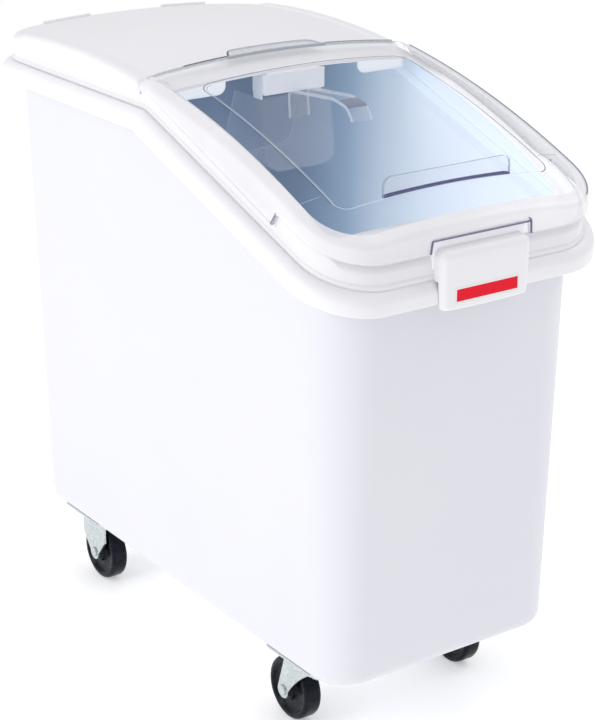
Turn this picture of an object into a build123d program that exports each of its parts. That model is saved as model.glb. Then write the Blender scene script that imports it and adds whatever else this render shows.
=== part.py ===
# Rolling ingredient bin: tapered tub on four casters, lid base with a fixed roof, sliding clear cover.
# Millimetres. X is the width, -Y the front, Z up; the wheels stand on Z = 0.
import math
import os

from build123d import *

os.makedirs("parts", exist_ok=True)

# Tub
TUB_LOW_Z = 98.0
TUB_LOW_HX = 158.5
TUB_LOW_HY = 333.9
TUB_LOW_R = 47.0
TUB_TOP_HX = 174.9
TUB_TOP_HY = 346.6
TUB_TOP_R = 65.7
TUB_WALL = 4.0
TUB_FLOOR = 4.0
TUB_FOOT_R = 13.0

# Rolled rim: level behind the kink, falling to the front ahead of it
RIM_OVER_X = 23.1
RIM_OVER_Y = 20.9
RIM_HX = TUB_TOP_HX + RIM_OVER_X
RIM_HY = TUB_TOP_HY + RIM_OVER_Y
RIM_R = 74.0
RIM_TOP = 686.0
TOP_OVER = 6.0
TUB_TOP_Z = RIM_TOP + TOP_OVER
RIM_DEPTH = 22.0
RIM_WALL = 4.0
RIM_ROUND = 9.0
RIM_TILT = 18.9
KINK_Y = -2.0
KINK_R = 30.0
TILT = math.radians(RIM_TILT)
RIM_FRONT_Z = RIM_TOP - (RIM_HY + KINK_Y) * math.tan(TILT)

# Lid base
LID_GAP = 0.3
LID_IN_X = 17.0
LID_IN_Y = 8.0
LID_HX = RIM_HX - LID_IN_X
LID_HY = RIM_HY - LID_IN_Y
LID_R = 64.5
LID_WALL = 3.0
FOOT_OUT = 1.6
FOOT_H = 5.0
LIP_PLAY = 1.0
LIP_WALL = 2.5
LIP_DEPTH = 9.0
ROOF_Y = 178.0
ROOF_RAD = 1233.6
ROOF_RISE = 47.6
ROOF_Z = RIM_TOP + ROOF_RISE - ROOF_RAD
ROOF_CROWN = 1725.0
ROOF_FRONT = -26.0
ROOF_ROUND = 7.0
EDGE_RISE = 12.6
EDGE_LOW = RIM_TOP + EDGE_RISE
RAIL_OVER = 1.2
RAIL_W = 17.2
RAIL_OUT = LID_HX + RAIL_OVER
RAIL_IN = RAIL_OUT - RAIL_W
RAIL_SINK = 6.1
RAIL_H = 8.8
RAIL_TOP = ROOF_RAD - RAIL_SINK
RAIL_LOW = RAIL_TOP - RAIL_H
RAIL_SHORT = 57.5
RAIL_REAR = LID_HY - RAIL_SHORT
RAIL_FRONT = 6.0
RAIL_ROUND = 6.0
STOP_IN = 52.0
STOP_OUT = 120.0
STOP_SHORT = 9.5
STOP_Y = LID_HY - STOP_SHORT
STOP_T = 3.0
STOP_H = 3.5
FRAME_SIDE = 22.0
FRAME_END = 45.5
MOUTH_HX = LID_HX - FRAME_SIDE
MOUTH_FRONT = -LID_HY + FRAME_END
MOUTH_R = 20.0
EDGE_HX = MOUTH_HX - LID_WALL

# Front clip plate on the lid base
CLIP_HX = 57.5
CLIP_OUT = 8.5
CLIP_DROP = 29.9
CLIP_RISE = 33.1
CLIP_FRONT = -RIM_HY - CLIP_OUT
CLIP_LOW = RIM_FRONT_Z - CLIP_DROP
CLIP_TOP = RIM_FRONT_Z + CLIP_RISE
CLIP_ROUND = 5.0
CLIP_GAP = 0.7
UPSTAND_HX = 61.0
SEAT_PLAY = 0.25
LABEL_HX = 43.0
LABEL_UP = 7.0
LABEL_H = 18.0
LABEL_LOW = CLIP_LOW + LABEL_UP
LABEL_TOP = LABEL_LOW + LABEL_H
LABEL_T = 0.6
LABEL_SINK = 0.4
LABEL_PLAY = 0.2

# Clear cover
COVER_OVER_X = 4.3
COVER_OVER_Y = 3.0
COVER_HX = LID_HX + COVER_OVER_X
COVER_HY = LID_HY + COVER_OVER_Y
COVER_R = 66.0
COVER_T = 2.5
COVER_RISE = 9.8
COVER_RAD = ROOF_RAD + COVER_RISE
COVER_CROWN = 1330.0
COVER_REAR = -9.0
COVER_ROUND = 9.0
SKIRT_Y = -5.2
SKIRT_RISE = 22.8
SKIRT_Z = RIM_TOP + SKIRT_RISE
SKIRT_SLOPE = 0.341
BEAD_T = 3.5
BEAD_H = 6.3
BEAD_SHORT = 13.3
BEAD_HX = COVER_HX - BEAD_SHORT
TONGUE_ROOT = 68.0
TONGUE_TIP = 58.0
TONGUE_Y = 19.0
PANEL_SIDE = 54.3
PANEL_BACK = 38.0
PANEL_FORE = 58.5
PANEL_HX = COVER_HX - PANEL_SIDE
PANEL_REAR = COVER_REAR - PANEL_BACK
PANEL_FRONT = -COVER_HY + PANEL_FORE
PANEL_R = 20.0
PANEL_DEEP = 0.8
GRIP_AHEAD = 2.0
GRIP_Y = PANEL_FRONT - GRIP_AHEAD
GRIP_T = 3.5
GRIP_HX = 84.0
GRIP_H = 17.2
GRIP_R = 10.0
NOTCH_TOP_HX = 64.4
NOTCH_LOW_HX = 68.0
NOTCH_H = 20.0
WEDGE_REAR = -190.0
WEDGE_FRONT = -250.0
WEDGE_DEEP = 7.0

# Front frame of the lid base, and the path the cover takes over it. The frame is an arc about a far axis:
# it passes just under the skirt's front corner and, at the roof, a set depth below the cover.
FRAME_GAP = 1.4
FRAME_UNDER = 10.128
FRAME_FLAT = 110.0
FRAME_BEND = 288.0
PATH_Y = 169.0
corner_y = -COVER_HY + COVER_T
corner_z = SKIRT_Z - SKIRT_SLOPE * (SKIRT_Y - corner_y)
root_z = ROOF_Z + math.sqrt(COVER_RAD**2 - (ROOF_Y - ROOF_FRONT) ** 2) - FRAME_UNDER
spread = (corner_y - PATH_Y) ** 2 - (ROOF_FRONT - PATH_Y) ** 2
PATH_Z = (corner_z + root_z + spread / (corner_z - root_z)) / 2
frame_rad = math.hypot(corner_y - PATH_Y, corner_z - PATH_Z) - FRAME_GAP

# Scoop and the hook it is pushed onto
HOOK_T = 3.0
HOOK_PLAY = 0.2
HOOK_DROP = 10.6
HOOK_RISE = 13.4
HOOK_LOW = EDGE_LOW - HOOK_DROP
HOOK_TOP = EDGE_LOW + HOOK_RISE
BOWL_HX = 49.0
BOWL_T = 2.2
HOOK_IN = 7.0
HOOK_HX = BOWL_HX - HOOK_IN
CHEEK_PLAY = 0.4
CHEEK_HX = BOWL_HX - BOWL_T - CHEEK_PLAY
CHEEK_DEEP = 16.0
CHEEK_LOW = HOOK_LOW - CHEEK_DEEP
BOWL_UNDER = 2.0
BOWL_DEEP = 84.0
BOWL_AHEAD = 4.0
BOWL_TOP = HOOK_LOW - BOWL_UNDER
BOWL_LOW = BOWL_TOP - BOWL_DEEP
BOWL_FRONT = ROOF_FRONT - BOWL_AHEAD
BOWL_RAKE = 14.0
BOWL_REAR = 52.0
BOWL_REAR_TOP = 22.0
CHEEK_SHORT = 8.0
CHEEK_REAR = BOWL_REAR_TOP - CHEEK_SHORT
BOWL_R = 18.0
HANDLE_HX = 14.0
HANDLE_T = 4.0
HANDLE_REACH = 117.0
HANDLE_RISE = 6.5
HANDLE_SAG = 1.5
HANDLE_END = BOWL_FRONT - HANDLE_REACH
HANDLE_Z = BOWL_TOP + HANDLE_RISE
HANDLE_DROP = 12.0
ROOT_OUT = 5.0
ROOT_BEND = 11.0
ROOT_HEEL = 14.0
ROOT_DEEP = 26.0

# Casters
CASTER_IN_X = 40.5
CASTER_IN_Y = 98.9
CASTER_X = TUB_LOW_HX - CASTER_IN_X
REAR_Y = TUB_LOW_HY - CASTER_IN_Y
FRONT_Y = -REAR_Y
TRAIL = 33.0
WHEEL_RAD = 38.0
WHEEL_W = 22.0
HUB_W = 28.0
HUB_RAD = 13.0
RECESS_RAD = 29.0
RECESS_DEEP = 4.0
TREAD_ROUND = 4.0
BUSH_RAD = 7.0
AXLE_RAD = 4.5
RUN_PLAY = 0.05
FORK_IN = 15.0
FORK_T = 3.0
PLATE_HX = 34.0
PLATE_HY = 48.0
PLATE_T = 3.0
PLATE_R = 8.0
LEG_TOP_HY = 26.5
LEG_STRAIGHT = 36.0
LEG_TIP_RAD = 10.0
AXLE_HEAD_RAD = 6.5
AXLE_HEAD_H = 1.8
NUT_RAD = 7.5
NUT_H = 6.5
CROWN_RAD = 26.0
CROWN_T = 4.4
RACE_OUT = 25.0
RACE_H = 1.3
RACE_LOW = TUB_LOW_Z - PLATE_T - RACE_H
BALL_RAD = 2.5
BALL_RING = 18.5
CROWN_PLAY = 0.35
BALL_Z = RACE_LOW - BALL_RAD - RUN_PLAY
CROWN_TOP = BALL_Z - BALL_RAD - CROWN_PLAY
BALL_COUNT = 14
PIN_RAD = 6.0
PIN_HEAD_RAD = 9.0
PIN_HEAD_H = 2.0
PIN_NUT_RAD = 9.2
PIN_NUT_H = 7.0
PIN_TAIL = 2.0
SEAT_GAP = 0.3
BOLT_DX = 19.0
BOLT_DY = 38.0
BOLT_RAD = 4.0
BOLT_HOLE_RAD = 4.2
BOLT_HEAD_RAD = 7.5
BOLT_HEAD_H = 5.0
WASHER_RAD = 9.0
WASHER_T = 1.6
BOLT_TAIL = 2.0

# The rim and the clip plate reach different distances, so the frame is centred by half the difference
CENTRE_Y = -(RIM_HY + CLIP_FRONT) / 2.0
# Extents past the part, for the shapes that are cut to it
BIG = 1.25 * RIM_HY
SKY = RIM_TOP + 3.0 * ROOF_RISE
DEEP = TUB_LOW_Z + TUB_FLOOR


def prism(hx, hy, r, low, high):
    return extrude(Plane.XY.offset(low) * RectangleRounded(2 * hx, 2 * hy, r), high - low)


def block(x0, x1, y0, y1, z0, z1):
    return Pos((x0 + x1) / 2, (y0 + y1) / 2, (z0 + z1) / 2) * Box(x1 - x0, y1 - y0, z1 - z0)


def side_cut(outline, x0, x1):
    """A shape drawn from the side as (y, z) points, given a width."""
    return extrude(Plane.YZ.offset(x0) * make_face(Polyline(*outline, close=True)), x1 - x0)


def side_face(edges, x0, x1):
    return extrude(Plane.YZ.offset(x0) * make_face(edges), x1 - x0)


def tub_half(z, inset):
    """Half width, half length and corner radius of the tapered wall at a height."""
    t = (z - TUB_LOW_Z) / (TUB_TOP_Z - TUB_LOW_Z)
    hx = TUB_LOW_HX + t * (TUB_TOP_HX - TUB_LOW_HX) - inset
    hy = TUB_LOW_HY + t * (TUB_TOP_HY - TUB_LOW_HY) - inset
    return hx, hy, TUB_LOW_R + t * (TUB_TOP_R - TUB_LOW_R) - inset


def tub_size(z, inset):
    hx, hy, r = tub_half(z, inset)
    return Plane.XY.offset(z) * RectangleRounded(2 * hx, 2 * hy, r)


def rim_height(y, lift):
    """Height of the rim's top line, moved square to itself by lift."""
    kink = KINK_Y - lift * math.tan(TILT / 2)
    return RIM_TOP + lift - max(0.0, kink - y) * math.tan(TILT)


def under_rim(lift):
    """Everything below the rim's top line moved square to itself by lift."""
    kink = KINK_Y - lift * math.tan(TILT / 2)
    top = RIM_TOP + lift
    bend = KINK_R + lift
    run = bend * math.tan(TILT / 2)
    rear = (kink + run, top)
    mid = (rear[0] - bend * math.sin(TILT / 2), top - bend + bend * math.cos(TILT / 2))
    front = (kink - run * math.cos(TILT), top - run * math.sin(TILT))
    far = (-BIG, front[1] - (front[0] + BIG) * math.tan(TILT))
    edges = Polyline(front, far, (-BIG, 0), (BIG, 0), (BIG, top), rear)
    edges += ThreePointArc(rear, mid, front)
    return side_face(edges, -BIG, BIG)


def across(y, z):
    """Drawing plane with X across and the second direction up, its origin on an axis along X."""
    return Plane(origin=(0, y, z), x_dir=(1, 0, 0), z_dir=(0, -1, 0))


def barrel(y, z, rad, crown):
    """Solid of revolution about an axis along X with a crowned surface."""
    half = 1.25 * LID_HX
    edge = rad - crown + math.sqrt(crown**2 - half**2)
    edges = Polyline((-half, edge), (-half, 0), (half, 0), (half, edge))
    edges += ThreePointArc((half, edge), (0, rad), (-half, edge))
    return revolve(across(y, z) * make_face(edges), Axis((0, y, z), (1, 0, 0)))


def frame_barrel(rad):
    """Surface of the front frame: level in the middle, bending down towards both sides."""
    half = 1.1 * LID_HX
    span = half - FRAME_FLAT
    drop = FRAME_BEND - math.sqrt(FRAME_BEND**2 - span**2)
    part = FRAME_BEND - math.sqrt(FRAME_BEND**2 - (span / 2) ** 2)
    edges = Polyline((-half, rad - drop), (-half, 0), (half, 0), (half, rad - drop))
    edges += ThreePointArc((half, rad - drop), (FRAME_FLAT + span / 2, rad - part), (FRAME_FLAT, rad))
    edges += Line((FRAME_FLAT, rad), (-FRAME_FLAT, rad))
    edges += ThreePointArc((-FRAME_FLAT, rad), (-FRAME_FLAT - span / 2, rad - part), (-half, rad - drop))
    return revolve(across(PATH_Y, PATH_Z) * make_face(edges), Axis((0, PATH_Y, PATH_Z), (1, 0, 0)))


def rail(side):
    """Curved rail along one side of the roof, its outer top edge rounded."""
    x0, x1 = side * RAIL_IN, side * RAIL_OUT
    x2 = side * (RAIL_OUT - RAIL_ROUND)
    turn = RAIL_ROUND * math.sqrt(0.5)
    mid = (x2 + side * turn, RAIL_TOP - RAIL_ROUND + turn)
    edges = Polyline((x2, RAIL_TOP), (x0, RAIL_TOP), (x0, RAIL_LOW), (x1, RAIL_LOW), (x1, RAIL_TOP - RAIL_ROUND))
    edges += ThreePointArc((x1, RAIL_TOP - RAIL_ROUND), mid, (x2, RAIL_TOP))
    return revolve(across(ROOF_Y, ROOF_Z) * make_face(edges), Axis((0, ROOF_Y, ROOF_Z), (1, 0, 0)))


def pipe(r_in, r_out, x0, x1, y, z):
    """Tube or rod along X."""
    rod = Pos((x0 + x1) / 2, y, z) * Rot(0, 90, 0) * Cylinder(r_out, x1 - x0)
    if r_in > 0:
        rod -= Pos((x0 + x1) / 2, y, z) * Rot(0, 90, 0) * Cylinder(r_in, x1 - x0 + 2)
    return rod


def post(rad, x, y, z0, z1):
    return Pos(x, y, (z0 + z1) / 2) * Cylinder(rad, z1 - z0)


def hex_post(rad, x, y, z0, z1):
    return Pos(x, y, z0) * extrude(RegularPolygon(rad, 6), z1 - z0)


def save(shape, node):
    export_step(Pos(0, CENTRE_Y, 0) * shape, f"parts/{node}.step")


def save_group(shapes, node):
    """Like pieces kept together in one node, each its own solid."""
    moved = [Pos(0, CENTRE_Y, 0) * shape for shape in shapes]
    export_step(Compound(children=moved), f"parts/{node}.step")


# Floor bolt places, four to a caster
BOLTS = []
for cx in (-CASTER_X, CASTER_X):
    for cy in (FRONT_Y, REAR_Y):
        for dx in (-BOLT_DX, BOLT_DX):
            for dy in (-BOLT_DY, BOLT_DY):
                BOLTS.append((cx + dx, cy + dy))

# Tub: tapered wall, floor, and a rim rolled outwards and down
roof_clear = RIM_TOP + 20.0
outer = loft([tub_size(TUB_LOW_Z, 0), tub_size(roof_clear, 0)])
outer = fillet(outer.edges().group_by(Axis.Z)[0], TUB_FOOT_R)
inner = loft([tub_size(TUB_LOW_Z + TUB_FLOOR, TUB_WALL), tub_size(roof_clear, TUB_WALL)])
inner = fillet(inner.edges().group_by(Axis.Z)[0], TUB_FOOT_R - TUB_WALL)


def top_loop(shape, lift):
    loop = []
    for edge in shape.edges():
        mid = edge @ 0.5
        on_line = abs(mid.Z - rim_height(mid.Y, lift)) < 1.0
        if on_line and (abs(mid.X) > 0.6 * RIM_HX or abs(mid.Y) > 0.7 * RIM_HY):
            loop.append(edge)
    return loop


rim = (prism(RIM_HX, RIM_HY, RIM_R, DEEP, SKY) & under_rim(0)) - under_rim(-RIM_DEPTH)
rim = fillet(top_loop(rim, 0), RIM_ROUND)
channel = prism(RIM_HX - RIM_WALL, RIM_HY - RIM_WALL, RIM_R - RIM_WALL, DEEP, SKY) & under_rim(-RIM_WALL)
channel = fillet(top_loop(channel, -RIM_WALL), RIM_ROUND - RIM_WALL)
tub = (rim - channel) + (outer & under_rim(0)) - inner
for bx, by in BOLTS:
    tub -= post(BOLT_HOLE_RAD, bx, by, TUB_LOW_Z - 5, TUB_LOW_Z + TUB_FLOOR + 5)
save(tub, "tub")

def crest_round(shape, rad):
    """Round the edge between a crowned top and the upright wall under it."""
    crest = shape.faces().sort_by(Axis.Z)[-1]
    return fillet(crest.edges(), rad)


# Heights on the cover that the lid base follows
def skirt_height(y):
    return SKIRT_Z - SKIRT_SLOPE * (SKIRT_Y - y)


skirt_front = skirt_height(-COVER_HY)
notch_top = skirt_front + NOTCH_H

# Lid base: walls standing on the rim, roof behind, frame round the mouth in front
wall = prism(LID_HX, LID_HY, LID_R, DEEP, SKY)
hollow = prism(LID_HX - LID_WALL, LID_HY - LID_WALL, LID_R - LID_WALL, DEEP, SKY)
behind = block(-BIG, BIG, ROOF_FRONT, BIG, 0, SKY)
ahead = block(-BIG, BIG, -BIG, ROOF_FRONT, 0, SKY)
roof = crest_round(wall & barrel(ROOF_Y, ROOF_Z, ROOF_RAD, ROOF_CROWN), ROOF_ROUND) & behind
roof_in = hollow & barrel(ROOF_Y, ROOF_Z, ROOF_RAD - LID_WALL, ROOF_CROWN)
roof_in = crest_round(roof_in, ROOF_ROUND - LID_WALL) & behind
frame = wall & frame_barrel(frame_rad) & ahead
frame_in = hollow & frame_barrel(frame_rad - LID_WALL) & ahead
base = (roof + frame) - under_rim(LID_GAP)
base -= (roof_in + frame_in) - under_rim(LID_GAP + LID_WALL)
foot = prism(LID_HX + FOOT_OUT, LID_HY + FOOT_OUT, LID_R + FOOT_OUT, DEEP, SKY) - wall
base += (foot & under_rim(LID_GAP + FOOT_H)) - under_rim(LID_GAP)
lip_low = rim_height(-RIM_HY, -LIP_DEPTH)
lip_hx, lip_hy, lip_r = tub_half(lip_low, TUB_WALL + LIP_PLAY)
lip = prism(lip_hx, lip_hy, lip_r, DEEP, SKY) - under_rim(-LIP_DEPTH)
lip -= prism(lip_hx - LIP_WALL, lip_hy - LIP_WALL, lip_r - LIP_WALL, 0, SKY)
base += lip & under_rim(LID_GAP + LID_WALL)
base -= prism(lip_hx - LIP_WALL, lip_hy - LIP_WALL, lip_r - LIP_WALL, 0, SKY) & under_rim(LID_GAP + LID_WALL)
mouth_mid = MOUTH_FRONT / 2
mouth = Pos(0, mouth_mid, 0) * prism(MOUTH_HX, -mouth_mid, MOUTH_R, DEEP, SKY)
base -= mouth & ahead
edge_plate = block(-EDGE_HX, EDGE_HX, ROOF_FRONT, ROOF_FRONT + LID_WALL, EDGE_LOW, SKY)
base += edge_plate & barrel(ROOF_Y, ROOF_Z, ROOF_RAD, ROOF_CROWN)
rail_span = block(-BIG, BIG, RAIL_FRONT, RAIL_REAR, 0, SKY)
for side in (-1, 1):
    base += rail(side) & rail_span
    x0, x1 = sorted((side * STOP_IN, side * STOP_OUT))
    stop = block(x0, x1, STOP_Y - STOP_T, STOP_Y, DEEP, SKY)
    stop &= barrel(ROOF_Y, ROOF_Z, ROOF_RAD + STOP_H, ROOF_CROWN)
    base += stop - barrel(ROOF_Y, ROOF_Z, ROOF_RAD - LID_WALL / 2, ROOF_CROWN)

clip = block(-CLIP_HX, CLIP_HX, CLIP_FRONT, -LID_HY + LID_WALL, CLIP_LOW, CLIP_TOP)
clip = fillet(clip.edges().filter_by(Axis.Z).group_by(Axis.Y)[0], CLIP_ROUND)
clip = fillet(clip.edges().group_by(Axis.Z)[-1].group_by(Axis.Y)[0], CLIP_ROUND)
rim_space = prism(RIM_HX + CLIP_GAP, RIM_HY + CLIP_GAP, RIM_R + CLIP_GAP, DEEP, SKY) & under_rim(LID_GAP)
clip -= rim_space
label_space = block(
    -LABEL_HX - LABEL_PLAY,
    LABEL_HX + LABEL_PLAY,
    CLIP_FRONT - 1,
    CLIP_FRONT + LABEL_SINK,
    LABEL_LOW - LABEL_PLAY,
    LABEL_TOP + LABEL_PLAY,
)
base += clip - label_space
base += block(-UPSTAND_HX, UPSTAND_HX, -LID_HY, -LID_HY + LID_WALL, CLIP_TOP - 3 * CLIP_ROUND, notch_top - SEAT_PLAY)
save(base, "lid_base")

label_front = CLIP_FRONT + LABEL_SINK - LABEL_T
label = block(-LABEL_HX, LABEL_HX, label_front, CLIP_FRONT + LABEL_SINK, LABEL_LOW, LABEL_TOP)
save(label, "contents_label")


# Clear cover: crowned sheet with a skirt on three sides
above_skirt = side_cut(
    [(-BIG, skirt_height(-BIG)), (BIG, skirt_height(BIG)), (BIG, 2 * SKY), (-BIG, 2 * SKY)], -BIG, BIG
)
cover_span = block(-BIG, BIG, -BIG, COVER_REAR, 0, SKY)
shell = prism(COVER_HX, COVER_HY, COVER_R, DEEP, SKY) & barrel(ROOF_Y, ROOF_Z, COVER_RAD, COVER_CROWN)
shell_in = prism(COVER_HX - COVER_T, COVER_HY - COVER_T, COVER_R - COVER_T, DEEP, SKY)
shell_in &= barrel(ROOF_Y, ROOF_Z, COVER_RAD - COVER_T, COVER_CROWN)
shell = crest_round(shell, COVER_ROUND)
shell_in = crest_round(shell_in, COVER_ROUND - COVER_T)
cover = (shell & cover_span & above_skirt) - shell_in
bead = block(-BEAD_HX, BEAD_HX, COVER_REAR - BEAD_T, COVER_REAR, DEEP, SKY)
bead &= barrel(ROOF_Y, ROOF_Z, COVER_RAD + BEAD_H, COVER_CROWN)
cover += bead - barrel(ROOF_Y, ROOF_Z, COVER_RAD - COVER_T, COVER_CROWN)
tongue = extrude(
    Plane.XY.offset(DEEP)
    * make_face(
        Polyline(
            (-TONGUE_ROOT, COVER_REAR - BEAD_T),
            (TONGUE_ROOT, COVER_REAR - BEAD_T),
            (TONGUE_TIP, TONGUE_Y),
            (-TONGUE_TIP, TONGUE_Y),
            close=True,
        )
    ),
    SKY - DEEP,
)
tongue &= barrel(ROOF_Y, ROOF_Z, COVER_RAD, COVER_CROWN)
cover += tongue - barrel(ROOF_Y, ROOF_Z, COVER_RAD - COVER_T, COVER_CROWN)
panel_mid = (PANEL_REAR + PANEL_FRONT) / 2
panel = Pos(0, panel_mid, 0) * prism(PANEL_HX, (PANEL_REAR - PANEL_FRONT) / 2, PANEL_R, DEEP, SKY)
cover -= panel - barrel(ROOF_Y, ROOF_Z, COVER_RAD - PANEL_DEEP, COVER_CROWN)
grip_top = ROOF_Z + math.sqrt(COVER_RAD**2 - (ROOF_Y - GRIP_Y) ** 2) + GRIP_H
grip = block(-GRIP_HX, GRIP_HX, GRIP_Y - GRIP_T / 2, GRIP_Y + GRIP_T / 2, DEEP, grip_top)
grip = fillet(grip.edges().filter_by(Axis.Y).group_by(Axis.Z)[-1], GRIP_R)
cover += grip - barrel(ROOF_Y, ROOF_Z, COVER_RAD - COVER_T, COVER_CROWN)
notch_low = skirt_front - NOTCH_H
notch = extrude(
    Plane.XZ.offset(COVER_HY - COVER_R / 2)
    * make_face(
        Polyline(
            (-NOTCH_LOW_HX, notch_low),
            (NOTCH_LOW_HX, notch_low),
            (NOTCH_TOP_HX, notch_top),
            (-NOTCH_TOP_HX, notch_top),
            close=True,
        )
    ),
    COVER_R,
)
cover -= notch
for side in (-1, 1):
    x0, x1 = sorted((side * (COVER_HX - COVER_T), side * COVER_HX))
    wedge = [
        (WEDGE_REAR, skirt_height(WEDGE_REAR)),
        (WEDGE_FRONT, skirt_height(WEDGE_FRONT) - WEDGE_DEEP),
        (WEDGE_FRONT, skirt_height(WEDGE_FRONT) + 2),
        (WEDGE_REAR, skirt_height(WEDGE_REAR) + 2),
    ]
    cover += side_cut(wedge, x0, x1)
save(cover, "clear_cover")

# Hook: clipped over the roof's down-turned edge, with two cheeks that stand inside the scoop
front_in = ROOF_FRONT - HOOK_PLAY
rear_in = ROOF_FRONT + LID_WALL + HOOK_PLAY
seat = EDGE_LOW - HOOK_PLAY
hook = block(-HOOK_HX, HOOK_HX, front_in - HOOK_T, rear_in + HOOK_T, HOOK_LOW, HOOK_TOP)
hook -= block(-HOOK_HX - 1, HOOK_HX + 1, front_in, rear_in, seat, HOOK_TOP + 1)
bridge_top = HOOK_LOW + HOOK_T
hook += block(-CHEEK_HX, CHEEK_HX, rear_in, CHEEK_REAR, HOOK_LOW, bridge_top)
for side in (-1, 1):
    x0, x1 = sorted((side * (CHEEK_HX - HOOK_T), side * CHEEK_HX))
    hook += block(x0, x1, rear_in, CHEEK_REAR, CHEEK_LOW, bridge_top)
save(hook, "scoop_hook")

# Scoop: open above and behind, strap handle forward with its end turned down
bowl_line = [
    (BOWL_FRONT, BOWL_TOP),
    (BOWL_FRONT - BOWL_RAKE, BOWL_LOW),
    (BOWL_REAR, BOWL_LOW),
    (BOWL_REAR_TOP, BOWL_TOP),
]
bowl = side_cut(bowl_line, -BOWL_HX, BOWL_HX)
bowl = fillet(bowl.edges().group_by(Axis.Z)[0].filter_by(Axis.Y), BOWL_R)
slope = BOWL_RAKE / (BOWL_TOP - BOWL_LOW)
lift_in = BOWL_LOW + BOWL_T
room_line = [
    (BOWL_FRONT + BOWL_T + slope * BOWL_R, BOWL_TOP + BOWL_R),
    (BOWL_FRONT + BOWL_T - slope * (BOWL_TOP - lift_in), lift_in),
    (2 * BOWL_REAR, lift_in),
    (2 * BOWL_REAR, BOWL_TOP + BOWL_R),
]
room = side_cut(room_line, -BOWL_HX + BOWL_T, BOWL_HX - BOWL_T)
room = fillet(room.edges().group_by(Axis.Z)[0].filter_by(Axis.Y), BOWL_R - BOWL_T)
strap = [
    (BOWL_FRONT - BOWL_T / 4, BOWL_TOP - BOWL_UNDER),
    (BOWL_FRONT - ROOT_OUT, HANDLE_Z - HANDLE_SAG),
    (HANDLE_END, HANDLE_Z),
    (HANDLE_END - HANDLE_DROP, HANDLE_Z - HANDLE_DROP),
    (HANDLE_END - HANDLE_DROP + HANDLE_T * 0.7, HANDLE_Z - HANDLE_DROP - HANDLE_T * 0.7),
    (HANDLE_END + HANDLE_T * 0.4, HANDLE_Z - HANDLE_T),
    (BOWL_FRONT - ROOT_BEND, HANDLE_Z - HANDLE_T - HANDLE_SAG),
    (BOWL_FRONT - ROOT_HEEL, BOWL_TOP - ROOT_DEEP + BOWL_T),
    (BOWL_FRONT - ROOT_OUT, BOWL_TOP - ROOT_DEEP - BOWL_T / 2),
    (BOWL_FRONT + BOWL_T / 2 - slope * ROOT_DEEP, BOWL_TOP - ROOT_DEEP),
]
scoop = (bowl - room) + side_cut(strap, -HANDLE_HX, HANDLE_HX)
save(scoop, "scoop")


# Casters
def wheel_shape(cx, cy, cz):
    half = WHEEL_W / 2
    outline = Polyline(
        (-HUB_W / 2, BUSH_RAD + RUN_PLAY),
        (HUB_W / 2, BUSH_RAD + RUN_PLAY),
        (HUB_W / 2, HUB_RAD),
        (half - RECESS_DEEP, HUB_RAD + 2),
        (half - RECESS_DEEP, RECESS_RAD),
        (half, RECESS_RAD + 2),
        (half, WHEEL_RAD - TREAD_ROUND),
        (half - TREAD_ROUND, WHEEL_RAD),
        (-half + TREAD_ROUND, WHEEL_RAD),
        (-half, WHEEL_RAD - TREAD_ROUND),
        (-half, RECESS_RAD + 2),
        (-half + RECESS_DEEP, RECESS_RAD),
        (-half + RECESS_DEEP, HUB_RAD + 2),
        (-HUB_W / 2, HUB_RAD),
        close=True,
    )
    return Pos(cx, 0, 0) * revolve(across(cy, cz) * make_face(outline), Axis((0, cy, cz), (1, 0, 0)))


def axle_set(kind, side, cx, cy):
    """Wheel, bush, headed axle and nut at one caster; the head is on the outer side."""
    reach = FORK_IN + FORK_T
    axle = pipe(0, AXLE_RAD, cx - reach - NUT_H - 1.5, cx + reach + NUT_H + 1.5, cy, WHEEL_RAD)
    out = 1 if cx > 0 else -1
    x0, x1 = sorted((out * BIG, cx + out * reach))
    axle -= block(x0, x1, -BIG, BIG, 0, 2 * WHEEL_RAD)
    a, b = sorted((cx + out * reach, cx + out * (reach + AXLE_HEAD_H)))
    axle += pipe(0, AXLE_HEAD_RAD, a, b, cy, WHEEL_RAD)
    save(axle, f"{kind}_axle_{side}")
    nut = Rot(0, 90, 0) * extrude(RegularPolygon(NUT_RAD, 6), NUT_H)
    start = cx - out * reach if out < 0 else cx - out * reach - NUT_H
    nut = Pos(start, cy, WHEEL_RAD) * nut
    nut -= pipe(0, AXLE_RAD, cx - 2 * HUB_W, cx + 2 * HUB_W, cy, WHEEL_RAD)
    save(nut, f"{kind}_axle_nut_{side}")
    bush = pipe(AXLE_RAD + RUN_PLAY, BUSH_RAD, cx - FORK_IN, cx + FORK_IN, cy, WHEEL_RAD)
    save(bush, f"{kind}_bush_{side}")
    save(wheel_shape(cx, cy, WHEEL_RAD), f"{kind}_wheel_{side}")


def plate(cx, cy):
    low = TUB_LOW_Z - PLATE_T
    sheet = Pos(cx, cy, 0) * prism(PLATE_HX, PLATE_HY, PLATE_R, low, TUB_LOW_Z)
    for bx, by in BOLTS:
        sheet -= post(BOLT_HOLE_RAD, bx, by, low - 1, TUB_LOW_Z + 1)
    return sheet


def legs(edges, cx, cy, extra):
    pair = None
    for a in (-FORK_IN - FORK_T, FORK_IN):
        leg = side_face(edges, cx + a, cx + a + FORK_T)
        pair = leg if pair is None else pair + leg
    pair += extra
    return pair - pipe(0, AXLE_RAD + RUN_PLAY, cx - 2 * HUB_W, cx + 2 * HUB_W, cy, WHEEL_RAD)


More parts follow.
